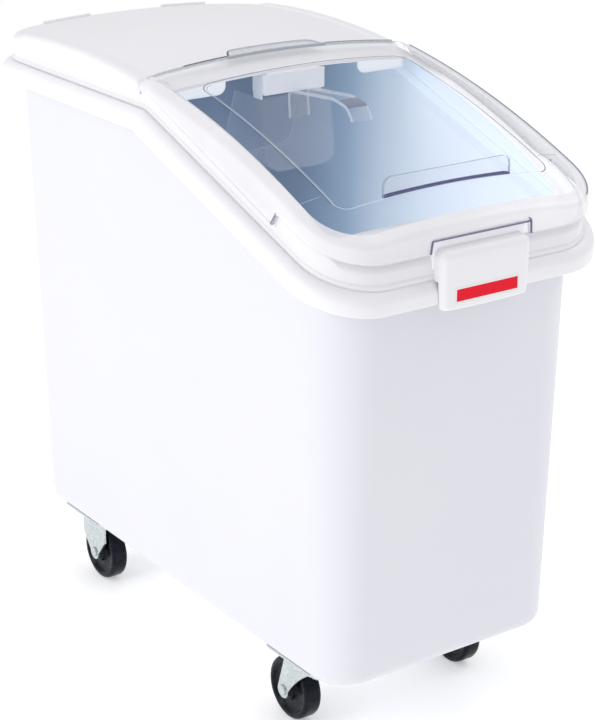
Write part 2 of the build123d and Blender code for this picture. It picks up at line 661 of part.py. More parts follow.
def rigid(side, cx):
    low = TUB_LOW_Z - PLATE_T
    cy = REAR_Y
    left, right = cy - LEG_TIP_RAD, cy + LEG_TIP_RAD
    edges = Polyline(
        (left, WHEEL_RAD),
        (cy - LEG_TOP_HY, low - LEG_STRAIGHT),
        (cy - LEG_TOP_HY, low + 1),
        (cy + LEG_TOP_HY, low + 1),
        (cy + LEG_TOP_HY, low - LEG_STRAIGHT),
        (right, WHEEL_RAD),
    )
    edges += ThreePointArc((right, WHEEL_RAD), (cy, WHEEL_RAD - LEG_TIP_RAD), (left, WHEEL_RAD))
    save(legs(edges, cx, cy, plate(cx, cy)), f"rigid_fork_{side}")
    axle_set("rigid", side, cx, cy)


def swivel(side, cx):
    low = TUB_LOW_Z - PLATE_T
    cy = FRONT_Y
    ay = FRONT_Y + TRAIL
    crown_low = CROWN_TOP - CROWN_T
    head_z = TUB_LOW_Z - PIN_HEAD_H
    disc = plate(cx, cy) + post(RACE_OUT, cx, cy, RACE_LOW, low)
    disc -= post(PIN_RAD, cx, cy, 0, TUB_LOW_Z + 1)
    disc -= post(PIN_HEAD_RAD, cx, cy, head_z, TUB_LOW_Z + 1)
    save(disc, f"swivel_plate_{side}")
    balls = []
    for i in range(BALL_COUNT):
        turn = 2 * math.pi * i / BALL_COUNT
        spot = (cx + BALL_RING * math.cos(turn), cy + BALL_RING * math.sin(turn), BALL_Z)
        balls.append(Pos(*spot) * Sphere(BALL_RAD))
    save_group(balls, f"swivel_balls_{side}")
    nut_top = crown_low - SEAT_GAP
    nut_low = nut_top - PIN_NUT_H
    pin = post(PIN_RAD, cx, cy, nut_low - PIN_TAIL, TUB_LOW_Z)
    pin += post(PIN_HEAD_RAD, cx, cy, head_z, TUB_LOW_Z)
    save(pin, f"swivel_pin_{side}")
    nut = hex_post(PIN_NUT_RAD, cx, cy, nut_low, nut_top) - post(PIN_RAD, cx, cy, 0, TUB_LOW_Z)
    save(nut, f"swivel_pin_nut_{side}")
    heel = cy - CROWN_RAD + 3
    toe = ay - 3
    edges = Polyline(
        (ay - LEG_TIP_RAD, WHEEL_RAD),
        (ay - LEG_TIP_RAD, WHEEL_RAD + 1),
    )
    edges += ThreePointArc(
        (ay - LEG_TIP_RAD, WHEEL_RAD + 1), (ay - 29.0, WHEEL_RAD + 24), (heel, crown_low - 1)
    )
    edges += Polyline(
        (heel, crown_low - 1),
        (heel, CROWN_TOP),
        (toe, CROWN_TOP),
        (toe, crown_low - 3),
        (ay + LEG_TIP_RAD, WHEEL_RAD),
    )
    edges += ThreePointArc(
        (ay + LEG_TIP_RAD, WHEEL_RAD), (ay, WHEEL_RAD - LEG_TIP_RAD), (ay - LEG_TIP_RAD, WHEEL_RAD)
    )
    reach = FORK_IN + FORK_T
    crown = post(CROWN_RAD, cx, cy, crown_low, CROWN_TOP)
    crown += block(cx - reach, cx + reach, heel, toe, crown_low, CROWN_TOP)
    crown -= post(PIN_RAD + RUN_PLAY, cx, cy, 0, TUB_LOW_Z)
    save(legs(edges, cx, ay, crown), f"swivel_fork_{side}")
    axle_set("swivel", side, cx, ay)


for side, cx in (("left", -CASTER_X), ("right", CASTER_X)):
    rigid(side, cx)
    swivel(side, cx)

# Floor bolts: head and washer inside the tub, nut under the caster plate
floor = TUB_LOW_Z + TUB_FLOOR
plate_low = TUB_LOW_Z - PLATE_T
bolts = []
washers = []
nuts = []
for bx, by in BOLTS:
    head_low = floor + WASHER_T
    bolt = post(BOLT_RAD, bx, by, plate_low - NUT_H - BOLT_TAIL, head_low)
    bolts.append(bolt + post(BOLT_HEAD_RAD, bx, by, head_low, head_low + BOLT_HEAD_H))
    washers.append(post(WASHER_RAD, bx, by, floor, head_low) - post(BOLT_HOLE_RAD, bx, by, 0, SKY))
    nuts.append(hex_post(NUT_RAD, bx, by, plate_low - NUT_H, plate_low) - post(BOLT_RAD, bx, by, 0, SKY))
save_group(bolts, "caster_bolts")
save_group(washers, "caster_washers")
save_group(nuts, "caster_nuts")
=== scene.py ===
# %% [markdown]
# # A rolling ingredient bin
# The bin is a tall white tub on four casters. A white lid base stands on the tub's rolled rim; behind, it
# has a crowned roof, and in front an open mouth under a clear cover that slides back over the roof.
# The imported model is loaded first, as a fixed frame: every piece made here goes where that frame says.

# %% Load the frame
import math

import bmesh
import bpy
import numpy as np
from mathutils import Matrix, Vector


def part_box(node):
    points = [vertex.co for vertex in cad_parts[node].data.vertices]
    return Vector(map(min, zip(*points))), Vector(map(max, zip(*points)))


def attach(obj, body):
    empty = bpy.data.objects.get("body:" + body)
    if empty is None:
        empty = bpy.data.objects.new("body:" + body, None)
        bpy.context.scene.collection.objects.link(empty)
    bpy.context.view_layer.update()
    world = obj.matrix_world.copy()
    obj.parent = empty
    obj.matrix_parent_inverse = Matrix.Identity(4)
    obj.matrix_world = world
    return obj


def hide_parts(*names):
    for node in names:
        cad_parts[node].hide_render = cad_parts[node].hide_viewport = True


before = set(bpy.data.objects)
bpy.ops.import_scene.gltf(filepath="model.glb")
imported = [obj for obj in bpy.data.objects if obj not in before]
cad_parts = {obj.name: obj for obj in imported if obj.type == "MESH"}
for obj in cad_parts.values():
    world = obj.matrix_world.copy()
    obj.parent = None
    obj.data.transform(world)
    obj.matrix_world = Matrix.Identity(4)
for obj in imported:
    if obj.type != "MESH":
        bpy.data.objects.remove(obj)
scene = bpy.context.scene
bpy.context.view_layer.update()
tub_lo, tub_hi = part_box("tub")
MM = 1000.0
SHIFT = (tub_lo.y + tub_hi.y) * MM / 2
SIDES = ((-1, "left"), (1, "right"))
print(len(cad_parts), "nodes; the tub's middle lies at y =", round(SHIFT, 3), "mm")

# %% [markdown]
# Shapes are worked out in millimetres about the tub's own middle, X across, -Y to the front, Z up.
# A closed loop round the bin is always the same list of places: a side, a corner, an end, and so on.
# Each place is a fixed mix of the half width, the two ends and the two corner radii, so loops of
# different sizes match point for point and can be joined into a skin. There are more places where
# the rim's line bends and where the cover is notched.

# %% Loops


def turns(start, stop, steps):
    """Angles from start to stop, given in degrees."""
    return np.radians(np.linspace(start, stop, steps))


ROOF_FRONT = -26.0
MOUTH_HX, MOUTH_FRONT, MOUTH_REAR, MOUTH_R, MOUTH_REAR_R = 158.0, -314.0, 331.0, 20.0, 48.0
MOUTH_AT = (ROOF_FRONT - MOUTH_FRONT - MOUTH_R) / (MOUTH_REAR - MOUTH_REAR_R - MOUTH_FRONT - MOUTH_R)
SIDE = np.concatenate([
    np.linspace(0, 0.40, 34),
    np.linspace(0.41, MOUTH_AT, 9),
    np.linspace(0.469, 0.515, 26),
    np.linspace(0.522, 1, 38),
])
NOTCH_IN, NOTCH_OUT = 0.5398, 0.5616
END = np.concatenate([
    np.linspace(-1, -NOTCH_OUT, 12),
    np.linspace(-NOTCH_IN, NOTCH_IN, 27),
    np.linspace(NOTCH_OUT, 1, 12),
])
TURN = turns(0, 90, 22)[1:-1]


def loop_mix():
    """For each place round a loop, how much of each size it takes.

    x is the sum of (half width, front radius, rear radius) times the first three columns;
    y is the sum of (front y, rear y, front radius, rear radius) times the last four.
    The order is left side, front left corner, front end, front right corner, right side, rear.
    """
    cos, sin = np.cos(TURN), np.sin(TURN)
    back, rear = SIDE[::-1], END[::-1]
    parts = [
        [-1, 0, 0, 1 - back, back, 1 - back, -back],
        [-1, 1 - cos, 0, 1, 0, 1 - sin, 0],
        [END, -END, 0, 1, 0, 0, 0],
        [1, sin - 1, 0, 1, 0, 1 - cos, 0],
        [1, 0, 0, 1 - SIDE, SIDE, 1 - SIDE, -SIDE],
        [1, 0, cos - 1, 0, 1, 0, sin - 1],
        [rear, 0, -rear, 0, 1, 0, 0],
        [-1, 0, 1 - sin, 0, 1, 0, cos - 1],
    ]
    blocks = [np.stack(np.broadcast_arrays(*part), 1) for part in parts]
    return np.concatenate(blocks), np.cumsum([len(block) for block in blocks])


MIX, STARTS = loop_mix()
AROUND = len(MIX)


def loop(hx, front, rear, r_front, r_rear):
    """The places of one loop as x and y; any size may itself vary from place to place."""
    x = MIX[:, 0] * hx + MIX[:, 1] * r_front + MIX[:, 2] * r_rear
    y = MIX[:, 3] * front + MIX[:, 4] * rear + MIX[:, 5] * r_front + MIX[:, 6] * r_rear
    return x, y


def round_loop(sizes, inset):
    """A loop of half width, front, rear and corner radius, drawn in all round by inset."""
    hx, front, rear, r = sizes
    return loop(hx - inset, front + inset, rear - inset, r - inset, r - inset)


# %% [markdown]
# A skin is rows of places joined by four-sided faces. Rows that run up the outside and inwards over
# the top, along anticlockwise loops, have their faces pointing outwards. Several skins make one piece,
# and places that coincide are merged.

# %% Skins and pieces


def skin(x, y, z, closed, finish=0):
    """Grid of places as vertices, faces and the finish of each face; x, y and z are spread to fill it."""
    verts = np.stack(np.broadcast_arrays(x, y, z), -1)
    spot = np.arange(verts.size // 3).reshape(verts.shape[:2])
    if closed:
        spot = np.concatenate([spot, spot[:, :1]], 1)
    quads = np.stack([spot[:-1, :-1], spot[:-1, 1:], spot[1:, 1:], spot[1:, :-1]], -1)
    marks = np.broadcast_to(finish, quads.shape[:2])
    return verts.reshape(-1, 3), quads.reshape(-1, 4), marks.reshape(-1)


def cap(x, y, z, flip, finish=0):
    """One flat face over a loop."""
    order = np.arange(len(x))
    return np.stack(np.broadcast_arrays(x, y, z), -1), (order[::-1] if flip else order)[None], np.array([finish])


def stack(rows):
    """Rows of (x, y, z) as three grids; a single number fills its row."""
    return np.stack([np.broadcast_arrays(*row) for row in rows], 1)


def between(outer, inner, steps):
    """Loops on the way from an outer to an inner one, which comes last."""
    outer, inner = np.array(outer), np.array(inner)
    return [outer + share * (inner - outer) for share in np.linspace(0, 1, steps + 1)[1:]]


SHARP, MERGE = math.radians(38.0), 0.01


def add_piece(name, skins, body, finishes, nodes, closed=False):
    """Put skins together into one object that rides on a body and stands for CAD nodes."""
    verts, parts, marks = zip(*skins)
    starts = np.cumsum([0, *map(len, verts)])
    faces = [face for part, start in zip(parts, starts) for face in (part + start).tolist()]
    place = (np.concatenate(verts) + (0, SHIFT, 0)) / MM
    mesh = bpy.data.meshes.new(name)
    mesh.from_pydata(place.tolist(), [], faces)
    for finish in finishes:
        mesh.materials.append(finish)
    mesh.polygons.foreach_set("material_index", np.concatenate(marks).astype(np.int32))
    work = bmesh.new()
    work.from_mesh(mesh)
    bmesh.ops.remove_doubles(work, verts=work.verts, dist=MERGE / MM)
    if closed:
        bmesh.ops.recalc_face_normals(work, faces=work.faces)
    work.to_mesh(mesh)
    work.free()
    mesh.polygons.foreach_set("use_smooth", np.ones(len(mesh.polygons), bool))
    mesh.set_sharp_from_angle(angle=SHARP)
    piece = bpy.data.objects.new(name, mesh)
    scene.collection.objects.link(piece)
    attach(piece, body)
    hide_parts(*nodes)
    print(name, "has", len(mesh.polygons), "faces")
    return piece


def lid_piece(name, skins, finishes, closed=False):
    return add_piece(name, skins, "lid", finishes, ["lid_base"], closed)


def cover_piece(name, skins, finishes, closed=True):
    return add_piece(name, skins, "cover", finishes, ["clear_cover"], closed)


def thicken(piece, thick, rim_finish=0, inner_finish=0, even=True):
    """Give a sheet its thickness, inwards; its cut edges and inner faces may change finish."""
    wall = piece.modifiers.new("wall", "SOLIDIFY")
    wall.thickness = thick / MM
    wall.offset = -1.0
    wall.use_even_offset = even
    wall.material_offset = inner_finish
    wall.material_offset_rim = rim_finish


# %% [markdown]
# Finishes are node trees. One small class wraps a socket, so that sums on sockets can be written as
# ordinary expressions; any other node comes from its one method. Every pattern reads the piece's
# own coordinates, so it stays on the piece from all sides.

# %% Wires and finishes


class Wire:
    """A socket in a finish's tree. Operators between wires and numbers add Math nodes."""

    def __init__(self, tree, socket=None):
        self.tree, self.socket = tree, socket

    def node(self, kind, settings=None, inputs=None, out=0):
        """Add a node: its settings first, then its inputs, given as values or wires."""
        made = self.tree.nodes.new(kind)
        for key, value in (settings or {}).items():
            if key == "stops":
                elements = made.color_ramp.elements
                while len(elements) < len(value):
                    elements.new(1.0)
                for stop, look in zip(elements, value):
                    stop.position, stop.color = look
            else:
                setattr(made, key, value)
        for key, value in (inputs or {}).items():
            if isinstance(value, Wire):
                self.tree.links.new(value.socket, made.inputs[key])
            else:
                made.inputs[key].default_value = value
        return Wire(self.tree, made.outputs[out])

    def sum(self, operation, first, second):
        return self.node("ShaderNodeMath", {"operation": operation}, {0: first, 1: second})

    def __add__(self, other):
        return self.sum("ADD", self, other)

    __radd__ = __add__

    def __sub__(self, other):
        return self.sum("SUBTRACT", self, other)

    def __rsub__(self, other):
        return self.sum("SUBTRACT", other, self)

    def __mul__(self, other):
        return self.sum("MULTIPLY", self, other)

    __rmul__ = __mul__

    def __abs__(self):
        return self.node("ShaderNodeMath", {"operation": "ABSOLUTE"}, {0: self})

    def part(self, axis):
        """One axis of this vector."""
        return self.node("ShaderNodeSeparateXYZ", None, {0: self}, axis)

    def held(self, low, high):
        """From 0 to 1 while the wire goes from low to high, smoothly, and held beyond."""
        settings = {"interpolation_type": "SMOOTHSTEP"}
        return self.node("ShaderNodeMapRange", settings, {0: self, 1: low, 2: high, 3: 0.0, 4: 1.0})

    def blend(self, first, second):
        """A colour between two, by this wire."""
        return self.node("ShaderNodeMix", {"data_type": "RGBA"}, {0: self, 6: first, 7: second}, 2)

    def noise(self, scale, detail=2.0, rough=0.5):
        """Noise on this vector, about 0.5."""
        inputs = {"Vector": self, "Scale": scale, "Detail": detail, "Roughness": rough}
        return self.node("ShaderNodeTexNoise", None, inputs)

    def stretched(self, x, y, z):
        """This vector scaled along its axes."""
        return self.node("ShaderNodeMapping", None, {"Vector": self, "Scale": (x, y, z)})

    def bump(self, strength, depth):
        """A normal from this height, in metres of depth."""
        return self.node("ShaderNodeBump", None, {"Height": self, "Strength": strength, "Distance": depth})


def new_finish(name):
    """A fresh finish and the piece's own coordinates."""
    made = bpy.data.materials.new(name)
    made.use_nodes = True
    return made, Wire(made.node_tree).node("ShaderNodeTexCoord", None, None, "Object")


def feed(made, values, shader="Principled BSDF"):
    """Set the shader's sockets to constants, or link them to wires."""
    for key, value in values.items():
        socket = made.node_tree.nodes[shader].inputs[key]
        if isinstance(value, Wire):
            value.tree.links.new(value.socket, socket)
        else:
            socket.default_value = value
    return made


# %% [markdown]
# Moulded polyethylene has a very fine satin grain, slow changes of tint where the wall cooled at
# different rates, and a duller skin low down where it gets knocked. Some of these whites also carry
# painted light: a small emission that lifts places lying in shade.

# %% Moulded whites


def moulded(name, tints, rough, grain, scuff=0.0, painted_light=0.0, shaded_side_only=False):
    """White plastic of two close tints, with painted light: an emission that may be kept to the front frame's
    far side, which lies in shade.
    """
    made, here = new_finish(name)
    painted_light_colour = (1, 1, 1, 1)
    if shaded_side_only:
        ahead = 1 - here.part("Y").held(-0.10, -0.045)
        painted_light_colour = (here.part("X").held(-0.04, 0.14) * ahead).blend((0, 0, 0, 1), painted_light_colour)
    fine = here.noise(1400.0)
    slow = here.noise(60.0)
    low = 1 - here.part("Z").held(0.1, 0.4)
    marks = here.stretched(1.0, 1.0, 6.0).noise(22.0, 6.0, 0.7).held(0.66, 0.8) * low
    return feed(made, {
        "Base Color": here.noise(3.5, 3.0).held(0.35, 0.68).blend(*tints),
        "Roughness": rough + (slow - 0.5) * 0.12 + marks * scuff,
        "Normal": (fine * 0.6 + slow * 0.4).bump(grain, 0.0004),
        "Specular IOR Level": 0.42,
        "Emission Color": painted_light_colour,
        "Emission Strength": painted_light,
    })


LID_TINTS = (0.87, 0.862, 0.875, 1), (0.855, 0.85, 0.864, 1)
TUB_WHITE = moulded("tub_white", [(0.80, 0.803, 0.845, 1), (0.785, 0.79, 0.838, 1)], 0.42, 0.12, 0.2)
LID_WHITE = moulded("lid_white", LID_TINTS, 0.36, 0.08)
THICK_WHITE = moulded("thick_white", [(0.915, 0.915, 0.93, 1), (0.90, 0.90, 0.918, 1)], 0.38, 0.1)
# The frame's white carries painted light on its far side, ahead of the roof.
FRAME_WHITE_PAINTED_LIGHT = moulded("frame_white_painted_light", LID_TINTS, 0.36, 0.08, painted_light=0.30, shaded_side_only=True)
# The lip's white carries a little painted light all over.
LIP_WHITE_PAINTED_LIGHT = moulded("lip_white_painted_light", LID_TINTS, 0.36, 0.08, painted_light=0.16)


def painted_inside(name, strength):
    """The same plastic seen inside, with painted shade and painted light: pale blue-grey in front darkening to
    deep blue under the roof, and an emission that lights it ahead of the roof.
    """
    made, here = new_finish(name)
    along = here.part("Y")
    # Painted shade: the colour darkens to deep blue towards the rear, under the roof.
    painted_shade = along.held(-0.05, 0.36).blend((0.58, 0.655, 0.745, 1), (0.075, 0.19, 0.355, 1))
    cloud = here.noise(4.0, 3.0)
    # Painted light: an emission ramp, brightest in front, fading to nothing towards the rear.
    painted_light = [
        (0.0, (0.43, 0.44, 0.46, 1)), (0.30, (0.36, 0.375, 0.40, 1)), (0.54, (0.23, 0.265, 0.285, 1)),
        (0.72, (0.055, 0.10, 0.14, 1)), (0.86, (0.015, 0.045, 0.07, 1)), (1.0, (0.0, 0.01, 0.025, 1)),
    ]
    share = along.node("ShaderNodeMapRange", None, {0: along, 1: -0.17, 2: 0.20, 3: 0.0, 4: 1.0})
    return feed(made, {
        "Base Color": (cloud.held(0.3, 0.7) * 0.2).blend(painted_shade, (0.48, 0.55, 0.64, 1)),
        "Roughness": 0.45 + (cloud - 0.5) * 0.15,
        "Normal": here.noise(1200.0).bump(0.1, 0.0004),
        "Emission Color": share.node("ShaderNodeValToRGB", {"stops": painted_light}, {0: share}),
        "Emission Strength": strength,
    })


TUB_INSIDE_SHADE_AND_LIGHT = painted_inside("tub_inside_painted_shade_and_light", 1.0)
LID_INSIDE_SHADE_AND_LIGHT = painted_inside("lid_inside_painted_shade_and_light", 0.88)

# %% [markdown]
# The clear cover and the scoop are polished acrylic. Alpha lets light through without bending it, so
# the inside stays lit. Seen edge on, the sheet leads light away; that is painted here: cut edges, lines
# and small parts have denser finishes that carry painted shade, and a light one carries painted highlights.

# %% Clear finishes


def clear(name, colour, alpha, rough=0.12, ripple=0.0):
    """Acrylic of a colour that hides alpha of what lies behind it."""
    made, here = new_finish(name)
    haze = here.noise(9.0, 3.0)
    return feed(made, {
        "Base Color": haze.held(0.3, 0.7).blend((*colour, 1), (*(0.94 * c for c in colour), 1)),
        "Alpha": alpha + (haze - 0.5) * 0.04,
        "Roughness": rough + (here.noise(35.0, 4.0) - 0.5) * 0.04,
        "Normal": here.noise(26.0, 1.0).bump(ripple, 0.0006),
        "Specular IOR Level": 0.55,
    })


COVER_CLEAR = clear("cover_clear", (0.80, 0.84, 0.88), 0.07, 0.05, 0.05)
COVER_SATIN = clear("cover_satin", (0.95, 0.945, 0.965), 0.74, 0.36, 0.04)
# Painted shade: the skirt's cut edge, the shoulder, the notch, the tab and grip edges, the grip's root, and the
# dark and blue lines; a greyer painted shade on the bead, the creases and the tongue; a painted highlight on the
# light line.
SKIRT_EDGE_SHADE = clear("skirt_edge_painted_shade", (0.52, 0.55, 0.64), 0.5, 0.2)
SHOULDER_SHADE = clear("shoulder_painted_shade", (0.27, 0.33, 0.37), 0.85, 0.14)
NOTCH_SHADE = clear("notch_line", (0.20, 0.20, 0.34), 0.86)
BEAD_GREY_SHADE = clear("bead_painted_grey_shade", (0.62, 0.66, 0.69), 0.36, 0.08, 0.05)
TONGUE_GREY_SHADE = clear("tongue_painted_grey_shade", (0.60, 0.65, 0.67), 0.34, 0.08, 0.05)
COVER_EDGE_SHADE = clear("cover_edge", (0.30, 0.34, 0.46), 0.62)
COVER_ROOT_SHADE = clear("cover_root_painted_shade", (0.10, 0.105, 0.27), 0.95)
DARK_SHADE_LINE = clear("painted_shade_dark_line", (0.05, 0.055, 0.10), 0.86, 0.14)
BLUE_SHADE_LINE = clear("painted_shade_blue_line", (0.42, 0.58, 0.70), 0.6)
HIGHLIGHT_LINE = clear("painted_highlight_line", (0.86, 0.91, 0.98), 0.66, 0.10)
SCOOP_CLEAR = clear("scoop_clear", (0.80, 0.83, 0.90), 0.09, 0.07, 0.04)
# The scoop's edge and rim finishes are painted highlights, and its dark finish painted shade.
SCOOP_EDGE_HIGHLIGHT = clear("scoop_edge_painted_highlight", (0.86, 0.88, 0.92), 0.46)
BOWL_RIM_HIGHLIGHT = clear("bowl_rim_painted_highlight", (0.80, 0.83, 0.88), 0.20)
SCOOP_BEND_SHADE = clear("scoop_bend_painted_shade", (0.14, 0.14, 0.26), 0.80, 0.10)

# %% [markdown]
# The rim's top line is level at the back and falls to the front by 18.9 degrees, with a rounded bend
# between. Everything that stands on the rim or hangs from it is measured square to that line.

# %% Rim line
RIM, RIM_DEEP = (198.0, -367.5, 367.5, 74.0), 22.0
RIM_TOP, KINK_Y, KINK_R = 686.0, -2.0, 30.0
TILT = math.radians(18.9)


def rim_line(y, lift):
    """Height of the rim's top line at y, moved square to itself by lift, its bend a true arc."""
    kink = KINK_Y - lift * math.tan(TILT / 2)
    bend = KINK_R + lift
    run = bend * math.tan(TILT / 2)
    arc = RIM_TOP - KINK_R + np.sqrt(np.maximum(bend**2 - (kink + run - y) ** 2, 0.0))
    fall = RIM_TOP + lift - (kink - y) * math.tan(TILT)
    return np.where(y > kink + run, RIM_TOP + lift, np.where(y < kink - run * math.cos(TILT), fall, arc))


# %% [markdown]
# The tub is one skin: out across the underside, round the foot, up the tapered wall, out under the
# rolled rim and over it, and down the inside to the floor. Its wall leans outwards, so each row's
# loop is found from its height, and the height from the loop, in three passes.

# %% Tub
TUB_LOW, TUB_TALL, TUB_BEND, TUB_WALL = 98.0, 594.0, 13.0, 4.0
TUB_AT_FOOT, TUB_GAIN = (158.5, 333.9, 47.0), (16.4, 12.7, 18.7)


def tub_loop(z, inset):
    """Loop of the leaning wall at height z, which may vary round it: half sizes and corner radius."""
    t = (z - TUB_LOW) / TUB_TALL
    hx, hy, r = (foot + gain * t - inset for foot, gain in zip(TUB_AT_FOOT, TUB_GAIN))
    return loop(hx, -hy, hy, r, r)


def wall_row(share, low, lift, inset):
    """A row of the wall at a share of the way from low up to the rim line moved by lift."""
    z = np.full(AROUND, low)
    for _ in range(3):
        x, y = tub_loop(z, inset)
        z = low + share * (rim_line(y, lift) - low)
    return x, y, z


def rim_row(sizes, inset, lift):
    """A row on the rim line moved by lift."""
    x, y = round_loop(sizes, inset)
    return x, y, rim_line(y, lift)


def foot_row(turn, inset, low, rad):
    """A row of the round between floor and wall, from flat (0) to upright (1)."""
    lean = turn * math.pi / 2
    z = low + rad * (1 - math.cos(lean))
    x, y = tub_loop(np.full(AROUND, z), inset + rad * (1 - math.sin(lean)))
    return x, y, z


def arc_rows(steps, centre, rad, start, stop):
    """Rows of a round on the rim: inset and lift from a turn about a centre."""
    inset, lift = centre
    return [rim_row(RIM, inset - rad * math.cos(a), lift + rad * math.sin(a)) for a in turns(start, stop, steps)]


def tub_skins():
    bend_top, under_rim, inner_edge = TUB_LOW + TUB_BEND, -5.5, -2.5
    hollow, crease, hem, crown = 9.0, 5.0, 2.0, RIM_DEEP / 2
    outside = [foot_row(t, 0.0, TUB_LOW, TUB_BEND) for t in np.linspace(0, 1, 8)]
    outside += [wall_row(s, bend_top, under_rim, 0.0) for s in np.linspace(0.06, 1, 18)]
    outside += [rim_row(RIM, hollow + crease, crease - hollow)]
    wall_faces = len(outside)
    outside += arc_rows(6, (hollow, -hollow), crease, 90, 0)
    outside += arc_rows(9, (hem, hem - RIM_DEEP), hem, 180, 360)
    outside += arc_rows(12, (crown, -crown), crown, 0, 90)
    outside += [wall_row(1.0, TUB_LOW, *step) for step in ((0.0, 1.0), (-0.8, 2.6), (inner_edge, TUB_WALL))]
    inside = [wall_row(s, bend_top, inner_edge, TUB_WALL) for s in np.linspace(1, 0.06, 18)]
    inside += [foot_row(t, TUB_WALL, TUB_LOW + TUB_WALL, TUB_BEND - TUB_WALL) for t in np.linspace(1, 0, 7)]
    marks = np.zeros((len(outside) - 1, AROUND), int)
    marks[wall_faces:] = 2
    return [
        skin(*stack(outside), True, marks),
        skin(*stack(inside), True, 1),
        cap(*outside[0], True),
        cap(*inside[-1], False, 1),
    ]


# The tub's inside takes the inside finish, with its painted shade and painted light.
add_piece("tub_shell", tub_skins(), "tub", [TUB_WHITE, TUB_INSIDE_SHADE_AND_LIGHT, THICK_WHITE], ["tub"])

# %% [markdown]
# The lid base is one moulding: a wall on the rim with a bead at its foot, behind it a roof crowned both
# ways, and in front a frame that slopes down round the mouth. One height for each place gives the
# whole top: the roof turns about an axis far below, the frame about another.

# %% Top of the lid base
LID, LID_WALL, LID_EDGE = (181.0, -359.5, 359.5, 64.5), 3.0, 6.0
LID_BEAD = ((1.6, 0.3), (1.6, 3.9), (1.1, 5.0), (0.0, 5.9))
ROOF_Y, ROOF_Z, ROOF_RAD, ROOF_CROWN, ROOF_BLEND = 178.0, -500.0, 1233.6, 3450.0, 16.0
PATH_Y, PATH_Z, FRAME_RAD, FRAME_FLAT, FRAME_BEND = 169.0, -288.0, 1021.77, 110.0, 288.0
RIB_RISE, RIB_X, RIB_REAR, RIB_FRONT = 8.0, 160.0, -235.0, -352.0
BAND_ROWS = 8


def ramp(value, start, stop):
    """From 0 to 1 while the value goes from start to stop, and held beyond."""
    return np.clip((value - start) / (stop - start), 0.0, 1.0)


def smooth(t):
    t = np.clip(t, 0.0, 1.0)
    return t * t * (3 - 2 * t)


def roof_top(x, y):
    """Roof: an arc along the bin whose radius shrinks towards the sides."""
    rad = ROOF_RAD - x**2 / ROOF_CROWN
    return ROOF_Z + np.sqrt(rad**2 - (y - ROOF_Y) ** 2)


def frame_top(x, y):
    """Front frame: level across the middle, bending down towards both sides."""
    over = np.maximum(np.abs(x) - FRAME_FLAT, 0.0)
    rad = FRAME_RAD - FRAME_BEND + np.sqrt(FRAME_BEND**2 - over**2)
    return PATH_Z + np.sqrt(rad**2 - (y - PATH_Y) ** 2)


def side_rib(x, y):
    """A low rise along the frame's outer sides, which closes the gap under the cover's skirt."""
    outer = smooth((np.abs(x) - RIB_X) / 10.0)
    return RIB_RISE * outer * smooth((RIB_REAR - y) / 50.0) * smooth((y - RIB_FRONT) / 14.0)


def lid_top(x, y):
    """The roof behind, the frame in front, and a soft change where they meet."""
    share = smooth((ROOF_FRONT - y) / ROOF_BLEND)
    return roof_top(x, y) * (1 - share) + frame_top(x, y) * share + side_rib(x, y)


def across(x, y, top, first):
    """Fill a loop from a place on its right side back to its rear end, across to the left, on a given top."""
    wide, deep = x[first : STARTS[5] + 1, None] * END, y[first : STARTS[5] + 1, None]
    return skin(wide, deep, top(wide, deep), False)


def mouth_loop():
    """Inner edge of the frame, a little narrower in front than behind; the roof fills its rear part."""
    flare, middle, reach = 0.02, -160.0, 130.0
    x, y = loop(MOUTH_HX, MOUTH_FRONT, MOUTH_REAR, MOUTH_R, MOUTH_REAR_R)
    return x * (1 + flare * np.clip((y - middle) / reach, -1.0, 1.0)), y


def lid_skins():
    rows = [rim_row(LID, -out, lift) for out, lift in LID_BEAD]
    x, y, foot = rows[-1]
    edge = lid_top(x, y) - LID_EDGE
    rows += [(x, y, foot + share * (edge - foot)) for share in (0.33, 0.66, 1.0)]
    for turn in turns(15, 90, 6):
        x, y = round_loop(LID, LID_EDGE * (1 - math.cos(turn)))
        rows.append((x, y, lid_top(x, y) - LID_EDGE * (1 - math.sin(turn))))
    inner_x, inner_y = mouth_loop()
    rows += [(a, b, lid_top(a, b)) for a, b in between((x, y), (inner_x, inner_y), BAND_ROWS)]
    marks = np.zeros((len(rows) - 1, AROUND), int)
    # The frame band ahead of the roof takes the frame white with its painted light.
    marks[-BAND_ROWS:, inner_y < ROOF_FRONT] = 1
    roof_start = STARTS[3] + np.argmin(np.abs(SIDE - MOUTH_AT))
    return [skin(*stack(rows), True, marks), across(inner_x, inner_y, lid_top, roof_start)]


# The lid's inner faces take the inside finish, with its painted shade and painted light.
thicken(lid_piece("lid_shell", lid_skins(), [LID_WHITE, FRAME_WHITE_PAINTED_LIGHT, LID_INSIDE_SHADE_AND_LIGHT]), LID_WALL, 0, 2)

# %% [markdown]
# Under the lid's wall a flat flange rests on the rim, and a lip below it keeps the lid from sliding
# off sideways. Both are one profile carried round the loop.

# %% Seat and lip


def seat_skins():
    flange, lip = (178.5, -357.0, 357.0, 62.0), (166.0, -338.6, 338.6, 57.0)
    thin, low, high, deep = 2.5, 0.3, 3.3, -9.0
    under = [(flange, 0.0, low), (lip, 0.0, low), (lip, 0.0, deep), (lip, thin, deep)]
    over = [(lip, thin, high), (flange, 0.0, high), (flange, 0.0, low)]
    return [skin(*stack([rim_row(*corner) for corner in under + over]), True)]


# The seat ring takes the inside finish's painted shade and painted light, so it blends with the tub's inner
# wall.
lid_piece("seat_ring", seat_skins(), [LID_INSIDE_SHADE_AND_LIGHT], True)

# %% [markdown]
# The roof's front edge is turned down into a lip, which stiffens it and carries the scoop's hook.
# It leaves the roof with a small round. Out at the sides it is deep, with a rounded inner corner;
# between, it is only as deep as the roof, but for the hook's seat. Its face carries a little painted light.

# %% Roof lip


